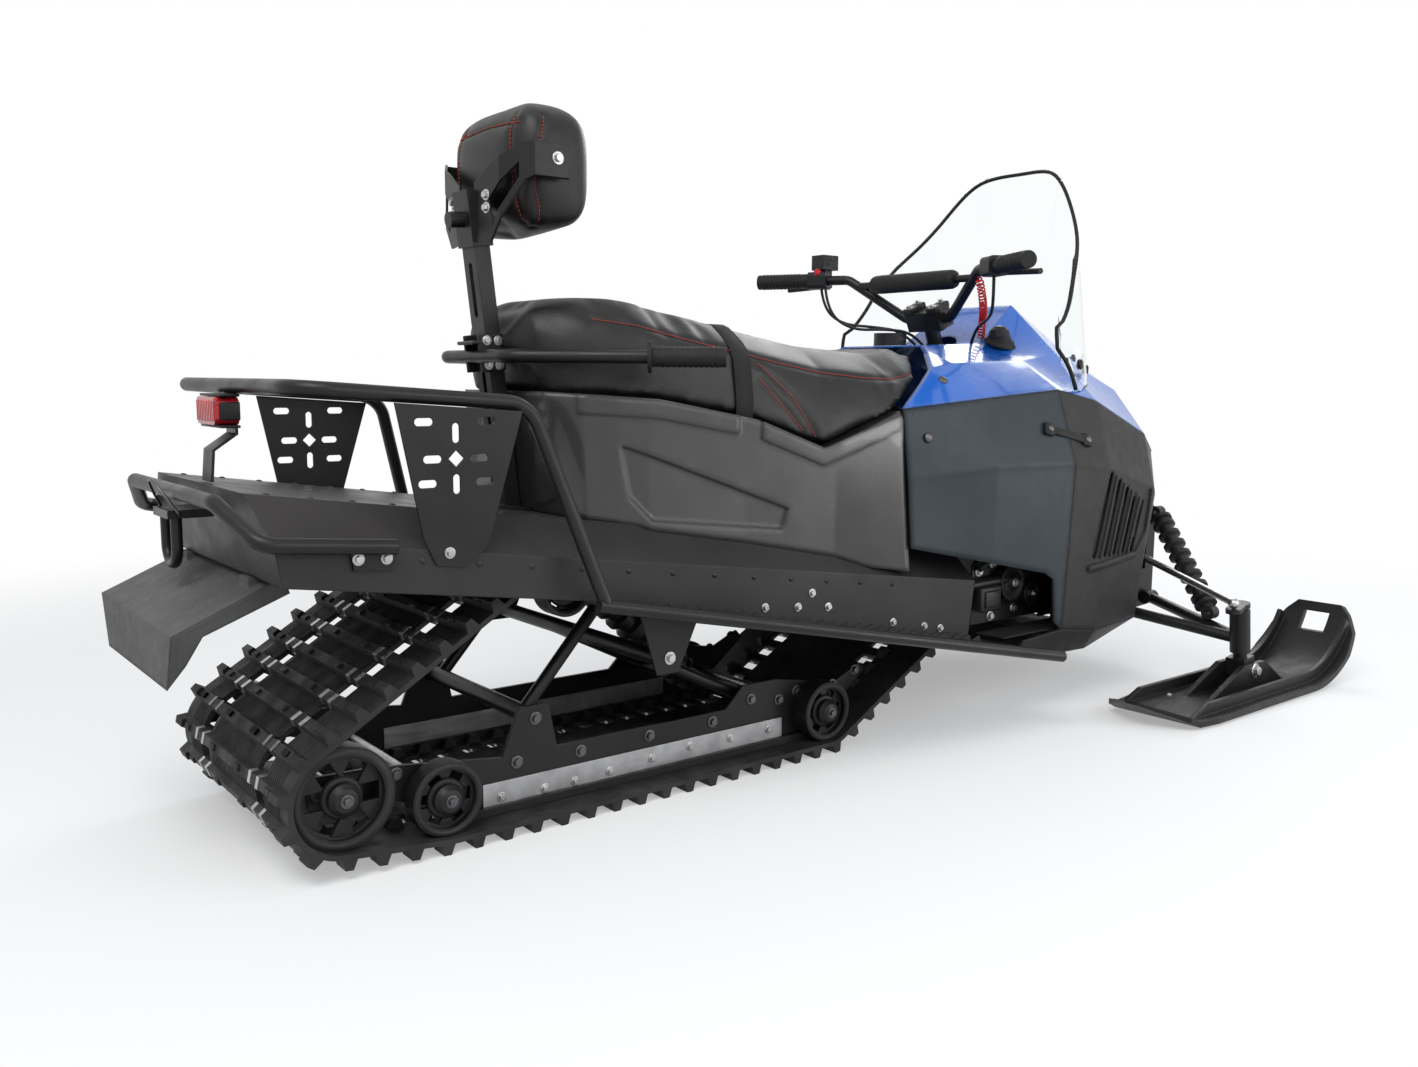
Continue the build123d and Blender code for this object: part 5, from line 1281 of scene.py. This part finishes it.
def make_rear_details():
    """The hitch's wire latch, the grab bar's clamps at the post and the bolts of the clamps and the yoke."""
    wire = bmesh.new()
    sweep_tube(wire, route_points([at(*p) for p in HITCH_LATCH]), LATCH_R, 8)
    new_piece("hitch_latch", wire, "chassis", "dark_steel")
    clamps = bmesh.new()
    heads = bmesh.new()
    pins = bmesh.new()
    for side in (-1, 1):
        block(clamps, at(CLAMP_X, side * 25.2, CLAMP_Z), (0.046, 0.006, 0.062), 0.002, POST_PITCH)
        for dx, dz in CLAMP_BOLTS:
            bolt(heads, at(CLAMP_X + dx, side * 28.2, CLAMP_Z + dz), (0, side, 0), 0.0055)
        for x, y, z, (ahead, out, up), size in YOKE_BOLTS:
            bolt(pins, at(x, side * y, z), Vector((ahead, side * out, up)).normalized(), size)
    block(clamps, at(345, 0, 768), (0.050, 0.056, 0.006), 0.002, POST_PITCH)
    new_piece("grab_clamps", clamps, "chassis", "tube_coat", smooth=False)
    new_piece("clamp_bolts", heads, "chassis", "bright_steel", smooth=False)
    new_piece("yoke_bolts", pins, "backrest_slider", "bright_steel", smooth=False)


# Side opening: the frame's sheet behind it; a box and its lid as distance from the sheet, size and edge;
# pulleys as x, z and radius, their section's radius in shares; bolts as x and z; a hose as x, distance from
# the sheet and z
SHEET_Y = 262
BOX_X = 1356
BOX_Z = 262
BOX_PARTS = [(15, (0.066, 0.032, 0.052), 0.004), (32, (0.044, 0.006, 0.034), 0.002)]
PULLEYS = [(1440, 288, 0.040), (1506, 258, 0.025)]
PULLEY = [(0, 0.026), (0.3, 0.026), (0.32, 0.018), (0.7, 0.014), (0.82, 0.02), (1, 0.022), (1, 0.017),
          (0.86, 0.011), (1, 0.005), (1, 0)]
SHEET_BOLTS = [(1396, 330), (1532, 232), (1470, 226), (1392, 218), (1540, 330), (1350, 316)]
HOSE = [(1340, 8, 322), (1372, 22, 352), (1440, 24, 362), (1510, 20, 342), (1552, 8, 300)]
HOSE_R = 0.007


def make_side_opening():
    """What shows behind the body's side opening: a box, pulleys, a hose and bolts on the frame's sheet."""
    parts = bmesh.new()
    heads = bmesh.new()
    for side in (-1, 1):
        axis = Vector((0, side, 0))
        for away, size, edge in BOX_PARTS:
            block(parts, at(BOX_X, side * (SHEET_Y + away), BOX_Z), size, edge)
        for x, z, radius in PULLEYS:
            place = at(x, side * SHEET_Y, z)
            turned(parts, [(radius * share, height) for share, height in PULLEY], place, axis, 36)
            bolt(heads, place + axis * PULLEY[0][1], axis, 0.006)
        for x, z in SHEET_BOLTS:
            bolt(heads, at(x, side * SHEET_Y, z), axis, 0.007)
        hose = [at(x, side * (SHEET_Y + away), z) for x, away, z in HOSE]
        sweep_tube(parts, route_points(hose), HOSE_R, 12)
    new_piece("opening_parts", parts, "chassis", "control_plastic")
    new_piece("opening_bolts", heads, "chassis", "bright_steel", smooth=False)


# Painted shade: dark sheets inside the body that stand in for the shaded space behind its openings, as place
# and size: behind the louvres, beside the engine, ahead of the seat, under the side openings and across the
# nose
SHADE_SHEETS = [((1700, 318, 440), (240, 3, 290)), ((1640, 256, 320), (150, 3, 250)),
          ((1122, 180, 520), (4, 190, 250)), ((1510, 300, 188), (330, 70, 3)),
          ((1962, 80, 410), (3, 168, 230)), ((1860, 258, 440), (120, 3, 290)),
          ((1614, 300, 250), (3, 90, 130))]


def make_shade_sheets():
    """Dark sheets behind the body's slots and joints: painted shade that stands in for the shaded inside of
    the body.
    """
    bm = bmesh.new()
    for (x, y, z), size in SHADE_SHEETS:
        for side in (-1, 1):
            block(bm, at(x, side * y, z), [s * 0.001 for s in size], 0.0008)
    # painted shade: these dark sheets close the see-through gaps where the body's inside lies in shade
    new_piece("body_shade_sheets", bm, "chassis", "belly_plastic", smooth=False)


def surface_frame(place, normal, forward):
    """A frame on a panel: third axis out of it, first axis forwards."""
    out = Vector(normal).normalized()
    across = out.cross(Vector(forward)).normalized()
    ahead = across.cross(out)
    return Matrix.Translation(place) @ Matrix((ahead, across, out)).transposed().to_4x4()


# Rubber latches, given on the left: place, the panel's normal and forward way, strap, buttons and screws
LATCH_PLACE = (1512, 348.5, 599)
LATCH_NORMAL = (-0.05, 0.95, 0.3)
LATCH_FORWARD = (0.96, 0, -0.25)
LATCH_STRAP = (0.130, 0.017, 0.006)
LATCH_BUTTON = (0.026, 0.027, 0.009)
BUTTON_X = (-0.058, 0.058)
BUTTON_SCREW = [(0.0075, 0.007), (0.0072, 0.010), (0.0045, 0.0115), (0, 0.0118)]
# Panel screws: place and normal of each on the left, and their section
PANEL_SCREWS = [((1240, 244, 710), (-0.14, 0.66, 0.74)), ((1150, 290, 600), (-0.1, 0.99, 0.1))]
PANEL_SCREW = [(0.010, 0), (0.010, 0.0016), (0.0065, 0.0042), (0, 0.005)]


def sided(point, side):
    """A point or a way given on the left, on either side."""
    return Vector((point[0], side * point[1], point[2]))


def make_body_details():
    """Rubber latches and the panel screws."""
    latches = bmesh.new()
    screws = bmesh.new()
    for side in (-1, 1):
        place = at(*sided(LATCH_PLACE, side))
        over = surface_frame(place, sided(LATCH_NORMAL, side), LATCH_FORWARD)
        laid_block(latches, over @ Matrix.Translation((0, 0, 0.004)), LATCH_STRAP, 0.0024)
        for x in BUTTON_X:
            laid_block(latches, over @ Matrix.Translation((x, 0, 0.003)), LATCH_BUTTON, 0.0035)
            turned(screws, BUTTON_SCREW, over @ Vector((x, 0, 0)), over.to_3x3() @ Vector((0, 0, 1)), 16)
        for spot, normal in PANEL_SCREWS:
            turned(screws, PANEL_SCREW, at(*sided(spot, side)), sided(normal, side), 18)
    new_piece("body_latches", latches, "chassis", "grip_rubber")
    new_piece("panel_screws", screws, "chassis", "dark_steel")


# Controls: the stop button, the handlebar's clamps on its raked column and the gear lever's boot
STOP_BUTTON = [(0.0095, -0.002), (0.0095, 0.004), (0.008, 0.0062), (0, 0.0066)]
STOP_PLACE = (1359, 248, 956)
STOP_WAY = (-0.9, 0, 0.3)
COLUMN_RAKE = 25
COLUMN_TOP = (1470, 846)
BAR_CLAMP = (0.050, 0.030, 0.014)
GEAR_BOOT = [(0.036, -0.002), (0.036, 0.003), (0.031, 0.006), (0.029, 0.011), (0.022, 0.014), (0.019, 0.019),
             (0.014, 0.022)]
BOOT_PLACE = (1533, -152)
BOOT_WAY = (0, -0.35, 0.94)


def make_control_details():
    """The engine stop button, bar clamps and the gear lever's boot."""
    button = bmesh.new()
    turned(button, STOP_BUTTON, at(*STOP_PLACE), STOP_WAY, 24)
    new_piece("stop_button", button, "steering", "red_cord")
    clamps = bmesh.new()
    bolts = bmesh.new()
    rake = math.radians(COLUMN_RAKE)
    up = Vector((-math.sin(rake), 0, math.cos(rake)))
    ahead = Vector((math.cos(rake), 0, math.sin(rake)))
    for y in (-34, 34):
        top = at(COLUMN_TOP[0], y, COLUMN_TOP[1])
        block(clamps, top + up * 0.026, BAR_CLAMP, 0.003, -COLUMN_RAKE)
        for away in (-0.016, 0.016):
            bolt(bolts, top + up * 0.033 + ahead * away, up, 0.0058)
    new_piece("bar_clamps", clamps, "steering", "tube_coat", smooth=False)
    new_piece("bar_clamp_bolts", bolts, "steering", "bright_steel", smooth=False)
    boot = bmesh.new()
    turned(boot, GEAR_BOOT, on_hood(*BOOT_PLACE), BOOT_WAY, 30)
    new_piece("gear_boot", boot, "chassis", "grip_rubber")


# Skis: distance from the middle; the saddle bolt's x, reach and z; the rivets' x, reach, height and section
SKI_Y = 498
SADDLE_BOLT = (2003, 34.3, 62)
SKI_RIVETS = (1800, 1900, 2100)
SKI_RIVET_REACH = 55
SKI_TOP = 20
SKI_RIVET = [(0.007, 0), (0.0065, 0.002), (0.003, 0.0035), (0, 0.0037)]


def make_ski_details():
    """The saddle bolts and the rivets on each ski."""
    for side, body in ((-1, "right_ski"), (1, "left_ski")):
        heads = bmesh.new()
        for way in (-1, 1):
            x, reach, z = SADDLE_BOLT
            bolt(heads, at(x, side * SKI_Y + way * reach, z), (0, way, 0), 0.011)
            for x in SKI_RIVETS:
                turned(heads, SKI_RIVET, at(x, side * SKI_Y + way * SKI_RIVET_REACH, SKI_TOP), (0, 0, 1), 14)
        new_piece(body + "_bolts", heads, body, "bright_steel", smooth=False)


set_camera()
set_studio()
set_floor()
finish_nodes()
hood_tree = surface_tree(nodes["hood"])
make_cables()
seat_cover = make_seat_cushion()
make_strap(seat_cover)
make_backrest_pad()
make_bar_roll()
make_track_details()
make_wheel_details()
make_bolts()
make_pane_trim()
make_grip_ribs()
make_lamp_details()
make_rear_details()
make_side_opening()
make_shade_sheets()
make_body_details()
make_control_details()
make_ski_details()
